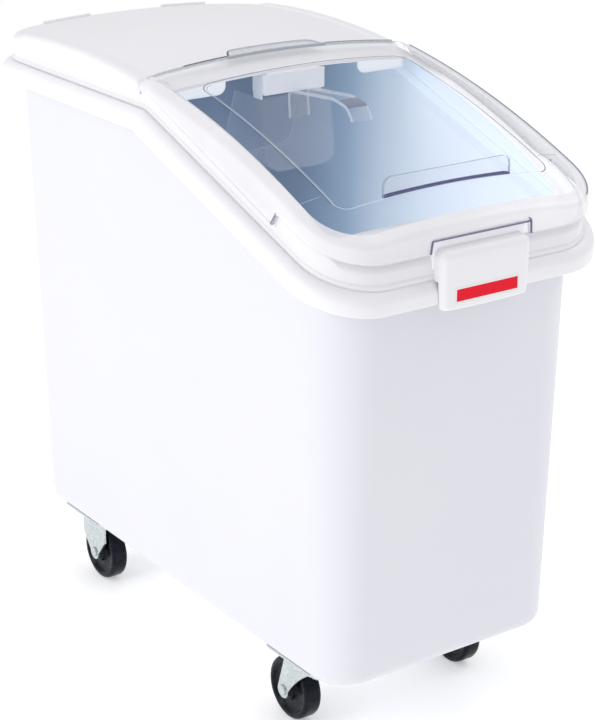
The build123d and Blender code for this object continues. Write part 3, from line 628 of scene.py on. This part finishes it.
def lip_skins():
    half, inner, soft, seat = 158.0, 92.0, 10.0, 36.0
    deep, seat_low, thin, edge = 696.5, 706.5, 3.5, 3.0
    right = np.concatenate([
        np.linspace(0, seat, 8),
        np.linspace(seat + 0.1, inner - 0.1, 10),
        inner + soft * (1 - np.cos(turns(0, 90, 9))),
        np.linspace(inner + soft + 4.0, half, 9),
    ])
    x = np.concatenate([-right[:0:-1], right])
    rows = []
    for lean in turns(90, 0, 6):
        y = ROOF_FRONT + edge * (1 - math.cos(lean))
        rows.append((x, y, roof_top(x, y) - edge * (1 - math.sin(lean))))
    wide = np.abs(x)
    left_over = 1 - ramp(wide, inner, inner + soft)
    outer_low = deep + soft * (1 - np.sqrt(1 - left_over**2))
    low = np.where(wide <= seat, seat_low, np.where(wide < inner, roof_top(x, ROOF_FRONT) - thin, outer_low))
    rows += [(x, ROOF_FRONT, 0.5 * (rows[-1][2] + low)), (x, ROOF_FRONT, low)]
    marks = np.zeros((len(rows) - 1, len(x) - 1), int)
    # The upright face takes the lip white with its painted light.
    marks[:2] = 1
    return [skin(*stack(rows[::-1]), False, marks)]


thicken(lid_piece("roof_lip", lip_skins(), [LID_WHITE, LIP_WHITE_PAINTED_LIGHT]), LID_WALL)

# %% [markdown]
# Two rails along the roof's sides carry the cover: a profile with a rounded outer edge, carried along
# an arc about the roof's axis, whose ends run down into the roof.

# %% Rails


def rail_skins(side):
    """Rail profile, across (x) and out from the axis (r), swept from front to rear."""
    inner, outer, root, top, soft, trim = 165.0, 182.2, 1214.0, 1227.5, 6.0, 1.5
    front, rear = 6.0, 302.0
    turn = turns(0, 90, 8)
    across_x = np.concatenate([[inner, inner, inner + trim], outer - soft + soft * np.sin(turn), [outer, inner]])
    out = np.concatenate([[root, top - trim, top], top - soft + soft * np.cos(turn), [root, root]])
    start, stop = (math.asin((y - ROOF_Y) / top) for y in (front, rear))
    along = np.linspace(start, stop, 90)
    ends = np.minimum(smooth((along - start) / 0.010), smooth((stop - along) / 0.012))
    rad = root + (out - root) * (0.25 + 0.75 * ends[:, None])
    y = ROOF_Y + rad * np.sin(along)[:, None]
    z = ROOF_Z + rad * np.cos(along)[:, None]
    return [skin(side * across_x, y, z, False)]


for side, word in SIDES:
    lid_piece(f"rail_{word}", rail_skins(side), [LID_WHITE], True)

# %% [markdown]
# Rounded blocks come up often. Each place on a divided cube is split into a part that moves it along
# the flat core and a part that points it round the edge, so faces, edges and corners are found at once.

# %% Rounded block


def soft_block(low, high, rad):
    """Rounded box between two opposite corners: the core's place plus the radius along a unit direction."""
    cuts = 7
    low, high = np.sort(np.array([low, high], float), 0)
    middle, half = (low + high) / 2, (high - low) / 2
    turn = np.tan(np.linspace(-1, 0, cuts) * math.pi / 4)
    steps = np.concatenate([turn, -turn[::-1]])
    core = np.concatenate([-np.ones(cuts), np.ones(cuts)])
    skins = []
    for axis in range(3):
        for sign in (-1, 1):
            first, second = (axis + sign) % 3, (axis - sign) % 3
            place, point = np.zeros((2, len(steps), len(steps), 3))
            place[..., axis] = point[..., axis] = sign
            place[..., first], point[..., first] = core, steps
            place[..., second], point[..., second] = core[:, None], steps[:, None]
            point /= np.linalg.norm(point, axis=-1, keepdims=True)
            spot = middle + place * (half - rad) + point * rad
            skins.append(skin(*np.moveaxis(spot, -1, 0), False))
    return skins


# %% [markdown]
# In front a clip plate comes down over the rim. Its face is set forward of the rim, its edges are
# well rounded, and its lower edge bows a little. Above it an upstand fills the cover's notch.
# Two low stops at the roof's rear end halt the cover.

# %% Front clip and cover stops


def clip_skins():
    """Rounded loops from the lower edge up: hollow behind for the rim, stepped back above it."""
    half, face, behind_rim, wall = 59.3, -376.0, -368.3, -357.0
    low, over_rim, high, soft, foot = 531.0, 562.5, 594.0, 8.0, 3.0
    taper, sag, rise = 2.1, 1.6, 3.0
    rows = []
    for turn in turns(0, 90, 7):
        rows.append((foot * (1 - math.sin(turn)), low + foot * (1 - math.cos(turn)), behind_rim))
    rows += [(0.0, z, behind_rim) for z in (540.0, 551.0, over_rim)]
    rows += [(0.0, z, wall) for z in (over_rim, 574.0)]
    for turn in turns(0, 90, 9):
        rows.append((soft * (1 - math.cos(turn)), high - soft + soft * math.sin(turn), wall))
    places = []
    for inset, z, back in rows:
        x, y = loop(half - inset - taper * ramp(z, 566.0, low), face + inset, back, soft - inset, 0.6)
        bow = sag * (x / half) ** 2 * ramp(z, 560.0, 530.0)
        lean = rise * ramp(y, face, wall) * ramp(z, 584.0, high)
        places.append((x, y, z + bow + lean))
    return [skin(*stack(places), True), cap(*places[0], True), cap(*places[-1], False)]


def stop_skins(side):
    """A flat block whose foot and top follow the roof."""
    near, far, front, rear, low, high, sunk, tall = 52.0, 120.0, 346.6, 350.4, 712.0, 724.0, 1.5, 5.0
    skins = soft_block((side * near, front, low), (side * far, rear, high), 1.4)
    for verts, _, _ in skins:
        rise = ramp(verts[:, 2], low, high)
        verts[:, 2] = roof_top(verts[:, 0], (front + rear) / 2) - sunk + tall * rise
    return skins


lid_piece("front_clip", clip_skins(), [THICK_WHITE])
# The upstand takes the lip white, whose painted light lifts the shade above the clip.
lid_piece("clip_upstand", soft_block((-61.0, -360.4, 574.0), (61.0, -356.0, 606.7), 1.4), [LIP_WHITE_PAINTED_LIGHT])
for side, word in SIDES:
    lid_piece(f"cover_stop_{word}", stop_skins(side), [LID_WHITE])

# %% [markdown]
# The clear cover is a thin sheet: a skirt on three sides, a round, and a crowned top with a panel let
# into it by less than a millimetre. The skirt's lower line has a notch in front and a tab on each side.
# The rows go up the skirt, over the edge, inwards to the panel, down its step and across it. The skirt
# and a narrow border are satin, so they look white; the rest is polished. The panel's step is drawn as
# thin lines of painted shade and painted highlight, and the skirt's cut edge carries painted shade.

# %% Clear cover
COVER_HX, COVER_FRONT, COVER_REAR, COVER_R, COVER_T = 185.3, -362.5, 7.0, 66.0, 2.5
COVER_RAD, COVER_CROWN, EDGE_R, REAR_R = 1243.4, 2660.0, 5.5, 17.0
SATIN_IN, SATIN_ROWS = 14.5, 3
PANEL, PANEL_DROP = (141.6, -310.6, -45.8, 17.0), 0.8
PANEL_STEPS = (1.1, 2.3, 3.1, 4.5, 5.2)
SKIRT_Y, SKIRT_Z, SKIRT_FALL = -5.2, 708.8, 0.341
TAB_REAR, TAB_FRONT, TAB_STEP, NOTCH_HX, NOTCH_TOP = 250.7, 259.8, 8.0, 65.5, 605.4


def cover_top(x, y):
    rad = COVER_RAD - x**2 / COVER_CROWN
    return ROOF_Z + np.sqrt(rad**2 - (y - ROOF_Y) ** 2)


def skirt_low(x, y):
    """Lower line of the skirt: a fall to the side tabs, a slanted step up ahead of them, and the notch."""
    rear_sag, front_sag, front_run = 7.7, 3.7, 102.0
    line = SKIRT_Z - SKIRT_FALL * (SKIRT_Y - y)
    behind = line - rear_sag * ramp(-y, 0.0, TAB_REAR)
    ahead = line + TAB_STEP - front_sag * ramp(-y, TAB_FRONT, TAB_FRONT + front_run)
    step = ramp(-y, TAB_REAR, TAB_FRONT)
    notch = (np.abs(x) < NOTCH_HX) & (y < COVER_FRONT + 1.0)
    return np.where(notch, NOTCH_TOP, behind + step * (ahead - behind))


def cover_edges():
    """Outline of the cover, the way inwards, and each place's share of the rounded edge: none at the rear."""
    x, y = loop(COVER_HX, COVER_FRONT, COVER_REAR, COVER_R, REAR_R)
    in_x, in_y = loop(-1.0, 1.0, -1.0, -1.0, -1.0)
    share = np.ones(AROUND)
    fade = 1 - smooth(np.linspace(0, 1.2, len(TURN)))
    fade = np.where(fade < 0.08, 0.0, fade)
    share[STARTS[4] : STARTS[5]] = fade
    share[STARTS[5] : STARTS[6]] = 0.0
    share[STARTS[6] :] = fade[::-1]
    return x, y, in_x, in_y, share


def edge_row(turn):
    """Places on the rounded edge: upright at no turn, on the top at a quarter turn."""
    x, y, in_x, in_y, share = cover_edges()
    inset = EDGE_R * (1 - math.cos(turn)) * share
    a, b = x + in_x * inset, y + in_y * inset
    return a, b, cover_top(a, b) - EDGE_R * share * (1 - math.sin(turn))


def cover_skins():
    x, y, in_x, in_y, share = cover_edges()
    run = np.r_[STARTS[6] : AROUND, 0 : STARTS[5]]
    high = cover_top(x, y) - EDGE_R * share
    lift = smooth(5.0 * (1 - share))
    low = skirt_low(x, y) * (1 - lift) + (high - 0.2) * lift
    skirt = [(x, y, low + s * (high - low)) for s in np.linspace(0, 1, 9)]
    skirt += [edge_row(turn) for turn in turns(12, 90, 8)]
    border = share * np.linspace(EDGE_R, SATIN_IN, SATIN_ROWS + 1)[:, None]
    top = [(x + in_x * inset, y + in_y * inset, 0.0) for inset in border]
    top += [(a, b, 0.0) for a, b in between(top[-1][:2], round_loop(PANEL, 0.0), 9)]
    for inset in PANEL_STEPS:
        top.append((*round_loop(PANEL, inset), PANEL_DROP * smooth(inset / PANEL_STEPS[-1])))
    top_x, top_y, drop = stack(top)
    return [
        skin(*stack(skirt)[..., run], False, 1),
        skin(top_x, top_y, cover_top(top_x, top_y) - drop, True, top_marks(len(top) - 1)),
        across(top_x[-1], top_y[-1], lambda a, b: cover_top(a, b) - PANEL_DROP, STARTS[2] - 1),
    ]


def top_marks(rows):
    """Finish of the top: a satin border, and the panel's step as thin lines of painted shade, dark and blue, and
    of painted highlight, light.
    """
    satin, dark, light, blue = 1, 2, 3, 5
    marks = np.zeros((rows, AROUND), int)
    marks[:SATIN_ROWS] = satin
    first = rows - len(PANEL_STEPS)
    left, front = np.r_[STARTS[6] : AROUND, 0 : STARTS[0]], np.r_[STARTS[0] : STARTS[2]]
    right_and_rear = np.r_[STARTS[2] : STARTS[6]]
    marks[first, left], marks[first + 1, left], marks[first + 3, left] = dark, light, blue
    marks[first + 1, front] = light
    marks[first, right_and_rear] = dark
    return marks


cover_finishes = [COVER_CLEAR, COVER_SATIN, DARK_SHADE_LINE, HIGHLIGHT_LINE, SKIRT_EDGE_SHADE, BLUE_SHADE_LINE, COVER_CLEAR]
# The skirt's cut edge takes the skirt edge finish, a painted shade.
thicken(cover_piece("clear_sheet", cover_skins(), cover_finishes, False), COVER_T, 3, 6, even=False)

# %% [markdown]
# Where the sheet is cut square, its edge gets a thin line of painted shade: over the notch, down the
# notch's right side, and at the slanted step of each side tab, which ends in a small hook. A crease
# crosses each side band, drawn in a grey painted shade, and the right shoulder, seen along the sheet,
# gets a grey line of painted shade. All are slim rods on the sheet.

# %% Cover lines


def rod(path, wide, thick, finish=0):
    """A square rod: four corners about each place of the path, closed to a point at both ends."""
    path, wide, thick = (np.array(v, float) for v in (path, wide, thick))
    ring = path[:, None] + np.array([-wide - thick, wide - thick, wide + thick, thick - wide])
    tips = path[[0, -1], None].repeat(4, 1)
    ring = np.concatenate([tips[:1], ring, tips[1:]])
    return skin(*np.moveaxis(ring, -1, 0), True, finish)


def on_cover(x, y, lift):
    """Places on the cover's top, moved up by lift."""
    return np.stack(np.broadcast_arrays(x, y, cover_top(x, y) + lift), 1)


def notch_lines():
    """A small flange over the notch and down its sides, with a curl at the upper right corner, dark with painted
    shade.
    """
    face, foot = COVER_FRONT - 0.6, 592.0
    deep = (0, 1.3, 0)
    over = [(x, face, NOTCH_TOP) for x in np.linspace(-62.8, 66.8, 9)]
    curl = [(64.0, face, NOTCH_TOP + 4.4), (66.4, face, NOTCH_TOP + 2.8)]
    right = curl + [(67.6, face, NOTCH_TOP), (68.2, face, foot)]
    left = [(-63.4, face, NOTCH_TOP), (-65.6, face, foot)]
    return [rod(over, (0, 0, 0.6), deep), rod(right, (0.5, 0, 0), deep), rod(left, (0.35, 0, 0), deep)]


def shoulder_painted_shade():
    """A grey line of painted shade on the right shoulder where it turns out of sight, from the front corner to
    the rear one.
    """
    path = np.stack(edge_row(math.radians(44.0)), 1)[STARTS[2] + 8 : STARTS[4] + 4]
    return [rod(path, (1.0, 0, 1.0), (-0.5, 0, 0.5))]


def tab_line(side):
    """A line of painted shade along the slanted step with its hook, drawn on the skirt's side as (y, z)."""
    step = [(-260.6, 631.0), (-258.0, 627.4), (-254.5, 622.6), (-251.6, 618.9)]
    hook = [(-250.9, 617.4), (-251.8, 616.7), (-254.0, 617.4), (-256.4, 619.6)]
    return [rod([(side * (COVER_HX - 0.4), y, z) for y, z in step + hook], (0, 0.65, 0.3), (0.6, 0, 0))]


# A crease across each side band, as a rod of grey painted shade.
def crease_line(side):
    x = np.linspace(146.0, 173.0, 12) * side
    return [rod(on_cover(x, -282.0, -0.2), (0, 0.35, 0), (0, 0, 0.3))]


cover_piece("notch_edge", notch_lines(), [NOTCH_SHADE])
cover_piece("shoulder_edge", shoulder_painted_shade(), [SHOULDER_SHADE])
for side, word in SIDES:
    cover_piece(f"tab_edge_{word}", tab_line(side), [COVER_EDGE_SHADE])
    cover_piece(f"cover_crease_{word}", crease_line(side), [BEAD_GREY_SHADE])

# %% [markdown]
# Along the cover's rear edge runs a low bead, with a tongue behind it that is used to push the cover
# back; both are greyer and denser than the sheet, a painted shade. A finger grip stands near the
# front: a fin with rounded corners, with painted shade along its root.

# %% Bead, tongue and grip
BEAD_HX, BEAD_RISE, BEAD_R = 166.0, 1.6, 1.75
GRIP_HX, GRIP_TOP, GRIP_Y, GRIP_R, GRIP_T = 84.0, 662.5, -306.0, 10.0, 3.5


def bead_skins():
    """A small rounded section, swept across the cover."""
    x = np.linspace(-BEAD_HX, BEAD_HX, 91)[:, None]
    turn = turns(0, 180, 9)
    middle = COVER_REAR - BEAD_R
    y = np.concatenate([[COVER_REAR], middle + BEAD_R * np.cos(turn), [middle - BEAD_R]])
    rise = np.concatenate([[-2.4], 0.2 + (BEAD_RISE - 0.2) * np.sin(turn), [-2.4]])
    fade = smooth((BEAD_HX - np.abs(x)) / 6.0)
    return [skin(x, y, cover_top(x, y) + np.where(rise > 0, rise * fade, rise), False)]


def tongue_skins():
    """A tapering strip whose free corners are rounded."""
    root, tip, soft, root_hx, taper = 5.0, 26.0, 8.0, 67.6, 10.0
    straight = tip - soft
    along = np.concatenate([np.linspace(root, straight, 8), straight + soft * np.sin(turns(10, 90, 9))])
    half = root_hx - taper * (along - root) / (tip - root)
    round_in = soft - np.sqrt(np.maximum(soft**2 - np.maximum(along - straight, 0.0) ** 2, 0.0))
    x, y = (half - round_in)[:, None] * np.linspace(-1, 1, 61), along[:, None]
    left_edge = slice(2, 12)
    marks = np.zeros((len(along) - 1, x.shape[1] - 1), int)
    # The tongue's left edge gets a dark line of painted shade.
    marks[left_edge, 0] = 2
    return [skin(x, y, cover_top(x, y) - 0.1, False, marks)]


def grip_skins():
    """A standing fin: rows from the cover's face up to a top with rounded corners."""
    turn = turns(0, 90, 9)
    flat = np.linspace(1 - GRIP_HX + GRIP_R, GRIP_HX - GRIP_R - 1, 31)
    up, over = GRIP_R * (1 - np.cos(turn)), GRIP_R * (1 - np.sin(turn))
    x = np.concatenate([up - GRIP_HX, flat, GRIP_HX - over])
    top = GRIP_TOP - np.concatenate([over, 0 * flat, up])
    root = cover_top(x, GRIP_Y) - 1.5
    rows = [(x, GRIP_Y - GRIP_T / 2, root + s * (top - root)) for s in (0.0, 0.14, 0.24, 0.5, 0.75, 1.0)]
    marks = np.zeros((len(rows) - 1, len(x) - 1), int)
    # The row along the root gets painted shade.
    marks[0] = 1
    return [skin(*stack(rows), False, marks)]


def bead_line():
    """Painted shade on the bead's top edge: a dark slim rod left of the tongue and a paler grey one right of it.
    """
    rods = []
    for start, stop, half, finish in ((-127.0, -68.0, 0.55, 0), (66.0, 164.0, 0.5, 1)):
        x = np.linspace(start, stop, 31)
        path = on_cover(x, COVER_REAR - BEAD_R, BEAD_RISE - 0.3)
        rods.append(rod(path, (0, half, 0), (0, 0, half), finish))
    return rods


cover_piece("rear_bead", bead_skins(), [BEAD_GREY_SHADE])
cover_piece("bead_edge", bead_line(), [DARK_SHADE_LINE, SHOULDER_SHADE])
# The tongue's and the grip's cut edges carry painted shade.
thicken(cover_piece("push_tongue", tongue_skins(), [TONGUE_GREY_SHADE, COVER_EDGE_SHADE, DARK_SHADE_LINE], False), COVER_T, 1)
thicken(cover_piece("finger_grip", grip_skins(), [COVER_CLEAR, COVER_ROOT_SHADE, COVER_EDGE_SHADE], False), GRIP_T, 2)

# %% [markdown]
# Under the roof's lip hangs a white hook, and the clear scoop is pushed onto its cheeks. The hook is a
# few rounded blocks. The scoop is a thin trough, open above and behind, with a strap for a handle whose
# end is turned down. Its edges and bends have finishes of their own: painted highlights on the bowl's
# cut rim and the strap's narrow faces, and painted shade on the strap's end bend.

# %% Hook and scoop
HOOK_HX, HOOK_LOW, HOOK_TOP = 42.0, 688.0, 712.0
BOWL_HX, BOWL_TOP, BOWL_LOW, BOWL_R, BOWL_T = 49.0, 686.0, 602.0, 18.0, 2.2
BOWL_FRONT, BOWL_REAR = (-44.0, -30.0), (52.0, 22.0)


def hook_skins():
    blocks = [
        ((-HOOK_HX, -29.2, HOOK_LOW), (HOOK_HX, -26.2, HOOK_TOP), 1.4),
        ((0.2 - HOOK_HX, -22.8, HOOK_LOW + 0.1), (HOOK_HX - 0.2, -19.8, HOOK_TOP - 0.2), 1.4),
        ((0.4 - HOOK_HX, -28.8, HOOK_LOW + 0.2), (HOOK_HX - 0.4, -20.2, 698.4), 1.4),
        ((-41.8, -22.4, HOOK_LOW + 0.4), (41.8, -5.6, 690.8), 1.1),
    ]
    cheeks = (39.2, 42.3, -28.4, -5.0, 689.2, 711.2), (39.6, 42.0, -22.9, -6.0, 682.0, 691.0)
    for side, _ in SIDES:
        for near, far, front, rear, low, high in cheeks:
            blocks.append(((side * near, front, low), (side * far, rear, high), 1.2))
    return [part for corners in blocks for part in soft_block(*corners)]


def bowl_end(z, low_and_top):
    """Where the bowl's front or rear edge lies at height z, from its y at the foot and at the top."""
    return np.interp(z, (BOWL_LOW, BOWL_TOP), low_and_top)


def bowl_skins():
    """A U-shaped section carried from the rear edge to the front wall, and the front wall itself."""
    turn, flat = turns(0, 90, 11)[1:], BOWL_HX - BOWL_R
    upright, floor_x = np.linspace(BOWL_TOP, BOWL_LOW + BOWL_R, 9), np.linspace(-1, 1, 15)
    side_x = np.concatenate([0 * upright + BOWL_HX, flat + BOWL_R * np.cos(turn)])
    side_z = np.concatenate([upright, BOWL_LOW + BOWL_R * (1 - np.sin(turn))])
    section_x = np.concatenate([-side_x, flat * floor_x[1:-1], side_x[::-1]])
    section_z = np.concatenate([side_z, 0 * floor_x[1:-1] + BOWL_LOW, side_z[::-1]])
    share = np.linspace(1, 0, 12)[:, None]
    y = share * bowl_end(section_z, BOWL_REAR) + (1 - share) * bowl_end(section_z, BOWL_FRONT)
    up_x, up_z = side_x[::-1, None] * floor_x, side_z[::-1, None]
    return [skin(section_x, y, section_z, False), skin(up_x, bowl_end(up_z, BOWL_FRONT), up_z, False)]


def bend(before, corner, after, reach):
    """A rounded corner between two straight runs: a quadratic curve that starts and ends reach away."""
    before, corner, after = (np.array(v, float) for v in (before, corner, after))
    start = corner + reach * (before - corner) / np.linalg.norm(before - corner)
    stop = corner + reach * (after - corner) / np.linalg.norm(after - corner)
    t = np.linspace(0, 1, 9)[:, None]
    return start * (1 - t) ** 2 + 2 * corner * t * (1 - t) + stop * t**2


def handle_skins():
    """A strap section with chamfered edges, carried up the bowl's front, forwards, and down at the end."""
    root, rise, crest = (-38.5, 661.0), (-35.5, 692.0), (-122.0, 698.8)
    end, tip = (-147.5, 693.6), (-157.6, 680.0)
    bends = bend(root, rise, crest, 9.0), bend(rise, crest, end, 8.0), bend(crest, end, tip, 6.0)
    path = np.concatenate([[root], *bends, [tip]])
    way = np.gradient(path, axis=0)
    way /= np.linalg.norm(way, axis=1, keepdims=True)
    square = np.stack([-way[:, 1], way[:, 0]], 1)
    wide = np.array([-14.0, -13.1, 13.1, 14.0, 14.0, 13.1, -13.1, -14.0])
    thick = np.array([-1.1, -2.0, -2.0, -1.1, 1.1, 2.0, 2.0, 1.1])
    y = path[:, :1] + square[:, :1] * thick
    z = path[:, 1:] + square[:, 1:] * thick
    faces, end_bend = [1, 5], slice(18, 24)
    # The strap's narrow faces get painted highlights, and one broad face at the end bend painted shade.
    marks = np.ones((len(path) - 1, len(wide)), int)
    marks[:, faces] = 0
    marks[end_bend, faces[0]] = 2
    return [skin(wide, y, z, True, marks), cap(wide, y[0], z[0], False), cap(wide, y[-1], z[-1], True)]


add_piece("hook_clip", hook_skins(), "lid", [LID_WHITE], ["scoop_hook"], True)
bowl = add_piece("scoop_bowl", bowl_skins(), "scoop", [SCOOP_CLEAR, BOWL_RIM_HIGHLIGHT], ["scoop"])
# The bowl's cut rim gets a painted highlight.
thicken(bowl, BOWL_T, 1)
handle_finishes = [SCOOP_CLEAR, SCOOP_EDGE_HIGHLIGHT, SCOOP_BEND_SHADE]
add_piece("scoop_handle", handle_skins(), "scoop", handle_finishes, ["scoop"], True)

# %% [markdown]
# The wheels are glossy black, with a raised tread, a dished side and a hub: profiles turned about the
# axle. The steel parts keep the frame's own solids and get a zinc finish.

# %% Wheels
WHEEL_X, WHEEL_Z = 118.0, 38.0


def wheel_finish():
    made, here = new_finish("wheel_black")
    dust = here.noise(70.0, 5.0, 0.65).held(0.45, 0.75)
    return feed(made, {
        "Base Color": dust.blend((0.004, 0.006, 0.012, 1), (0.014, 0.016, 0.022, 1)),
        "Roughness": 0.26 + dust * 0.2,
        "Normal": here.noise(900.0).bump(0.08, 0.0003),
        "Specular IOR Level": 0.12,
        "Coat Weight": 0.06,
        "Coat Roughness": 0.1,
    })


WHEEL_BLACK = wheel_finish()


def wheel_skin(middle_x, middle_y):
    """Hub, dish and tread of one side as (x, radius), mirrored, and turned about the axle."""
    hub = [(14.0, 7.05), (14.0, 11.6), (13.4, 12.6), (12.0, 13.2), (8.6, 13.8), (7.4, 14.8), (7.0, 16.4)]
    dish = [(7.0, 26.2), (7.6, 28.0), (9.0, 29.4), (10.4, 30.2), (11.0, 31.4)]
    tread = [(11.0, 33.6), (10.6, 35.6), (9.4, 37.2), (7.6, 37.9), (5.0, 38.0)]
    half = hub + dish + tread
    x, rad = np.array(half + [(-x, r) for x, r in half[::-1]] + [half[0]]).T[..., None]
    turn = np.linspace(0, 2 * math.pi, 72, endpoint=False)
    return skin(middle_x + x, middle_y + rad * np.cos(turn), WHEEL_Z + rad * np.sin(turn), True)


for kind, body, place_y in (("rigid", "rear_wheel", 235.0), ("swivel", "front_wheel", -202.0)):
    for side, word in SIDES:
        wheel, name = [wheel_skin(side * WHEEL_X, place_y)], f"{body}_{word}"
        add_piece(f"{name}_rim", wheel, name, [WHEEL_BLACK], [f"{kind}_wheel_{word}"], True)

# %% [markdown]
# Zinc plating is bright but not a mirror: it has faint spangles and streaks from the bath.

# %% Steel and label finishes
LABEL_Z = 0.547


def metal(name, light, shade, rough, spangle):
    made, here = new_finish(name)
    flake = here.node("ShaderNodeTexVoronoi", None, {"Vector": here, "Scale": spangle}, "Color")
    mark = flake.part("X")
    streak = here.stretched(1.0, 1.0, 0.15).noise(260.0, 4.0)
    return feed(made, {
        "Base Color": (mark * 0.5 + streak * 0.5).held(0.2, 0.8).blend(light, shade),
        "Metallic": 1.0,
        "Roughness": rough + mark * 0.1 + (streak - 0.5) * 0.12,
        "Normal": streak.bump(0.06, 0.0003),
    })


def label_finish():
    """A printed film: a plain red field with a white border."""
    made, here = new_finish("label_print")
    side = abs(here.part("X")).held(0.0405, 0.0409)
    edge = abs(here.part("Z") - LABEL_Z).held(0.0064, 0.0067)
    border = (side + edge).held(0.0, 1.0)
    return feed(made, {
        "Base Color": border.blend((0.85, 0.0, 0.02, 1), (0.86, 0.86, 0.86, 1)),
        "Roughness": 0.45 + (here.noise(90.0) - 0.5) * 0.1,
        "Specular IOR Level": 0.2,
    })


ZINC = metal("zinc_plate", (0.64, 0.68, 0.675, 1), (0.53, 0.58, 0.585, 1), 0.26, 420.0)
TURNED = metal("turned_steel", (0.60, 0.60, 0.61, 1), (0.50, 0.50, 0.52, 1), 0.3, 900.0)
BALLS = metal("ball_steel", (0.78, 0.78, 0.79, 1), (0.72, 0.72, 0.74, 1), 0.1, 900.0)
LABEL = label_finish()


def dress(finish, *names):
    """Give CAD nodes that keep their own shape a finish."""
    for name in names:
        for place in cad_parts[name].material_slots:
            place.material = finish


dress(ZINC, "caster_bolts", "caster_washers", "caster_nuts")
for _, word in SIDES:
    dress(ZINC, f"swivel_plate_{word}", f"swivel_pin_{word}", f"swivel_pin_nut_{word}")
    for kind in ("rigid", "swivel"):
        dress(ZINC, f"{kind}_fork_{word}", f"{kind}_axle_{word}", f"{kind}_axle_nut_{word}")
        dress(TURNED, f"{kind}_bush_{word}")
    dress(BALLS, f"swivel_balls_{word}")
dress(LABEL, "contents_label")

# %% [markdown]
# The stage is a wide white floor with a little light of its own, so it stays pale under the bin, soft
# light from all round, and large lamps on the left, above and on the right.

# %% Floor and light
FLOOR_REACH, FLOOR_Z = 14.0, -0.0002


def stage_floor():
    made, here = new_finish("studio_floor")
    feed(made, {
        "Base Color": here.noise(2.0).held(0.2, 0.8).blend((0.9, 0.9, 0.9, 1), (0.88, 0.88, 0.885, 1)),
        "Roughness": 0.6,
        "Emission Color": (1, 1, 1, 1),
        "Emission Strength": 0.35,
    })
    reach = np.linspace(-FLOOR_REACH, FLOOR_REACH, 3)
    verts, faces, _ = skin(reach, reach[:, None], FLOOR_Z, False)
    mesh = bpy.data.meshes.new("studio_floor")
    mesh.from_pydata(verts.tolist(), [], faces.tolist())
    mesh.materials.append(made)
    floor = bpy.data.objects.new("studio_floor", mesh)
    scene.collection.objects.link(floor)


stage_floor()
world = scene.world = bpy.data.worlds.new("soft_room")
world.use_nodes = True
feed(world, {"Color": (0.968, 0.968, 1.0, 1), "Strength": 0.71}, "Background")


def stand(made, place, back):
    """Put a lamp or camera at a place, with its back along a unit vector and its right side level."""
    right = np.cross((0, 0, 1), back)
    right /= np.linalg.norm(right)
    turn = np.eye(4)
    turn[:3] = np.stack([right, np.cross(back, right), back, place], 1)
    made.matrix_world = Matrix(turn.tolist())
    scene.collection.objects.link(made)


def lamp(name, place, aim, size, power):
    """A square area lamp at a place, turned to face an aim."""
    data = bpy.data.lights.new(name, "AREA")
    data.size, data.energy = size, power
    back = np.array(place) - aim
    stand(bpy.data.objects.new(name, data), place, back / np.linalg.norm(back))


lamp("left_lamp", (-3.0, 0.1, 1.75), (0, 0, 0.45), 1.6, 30.0)
lamp("top_lamp", (0.1, 1.0, 3.0), (0, 0.1, 0.7), 1.8, 7.0)
lamp("right_lamp", (2.6, -0.5, 2.8), (0, -0.1, 0.6), 1.6, 20.0)

# %% [markdown]
# The camera stands to the front left of the bin, about twenty degrees above it, with a long lens.
# Its picture is 595 by 720, and a small shift puts the bin where the photograph has it.

# %% Camera
AZIMUTH, ELEVATION = np.radians([-34.572, 20.669])
REACH, FOCUS = 2.40716, 1988.3
PICTURE_TALL, OFFSET_X, OFFSET_Y, AIM_Z = 720.0, -17.174, 1.651, 0.35
level = np.array([math.sin(AZIMUTH), -math.cos(AZIMUTH), 0.0])
eye_back = level * math.cos(ELEVATION) + (0.0, 0.0, math.sin(ELEVATION))
camera_data = bpy.data.cameras.new("camera")
camera_data.lens = FOCUS * camera_data.sensor_width / PICTURE_TALL
camera_data.shift_x, camera_data.shift_y = -OFFSET_X / PICTURE_TALL, OFFSET_Y / PICTURE_TALL
camera = bpy.data.objects.new("camera", camera_data)
stand(camera, (0.0, SHIFT / MM, AIM_Z) + REACH * eye_back, eye_back)
scene.camera = camera
scene.view_settings.view_transform = "Standard"
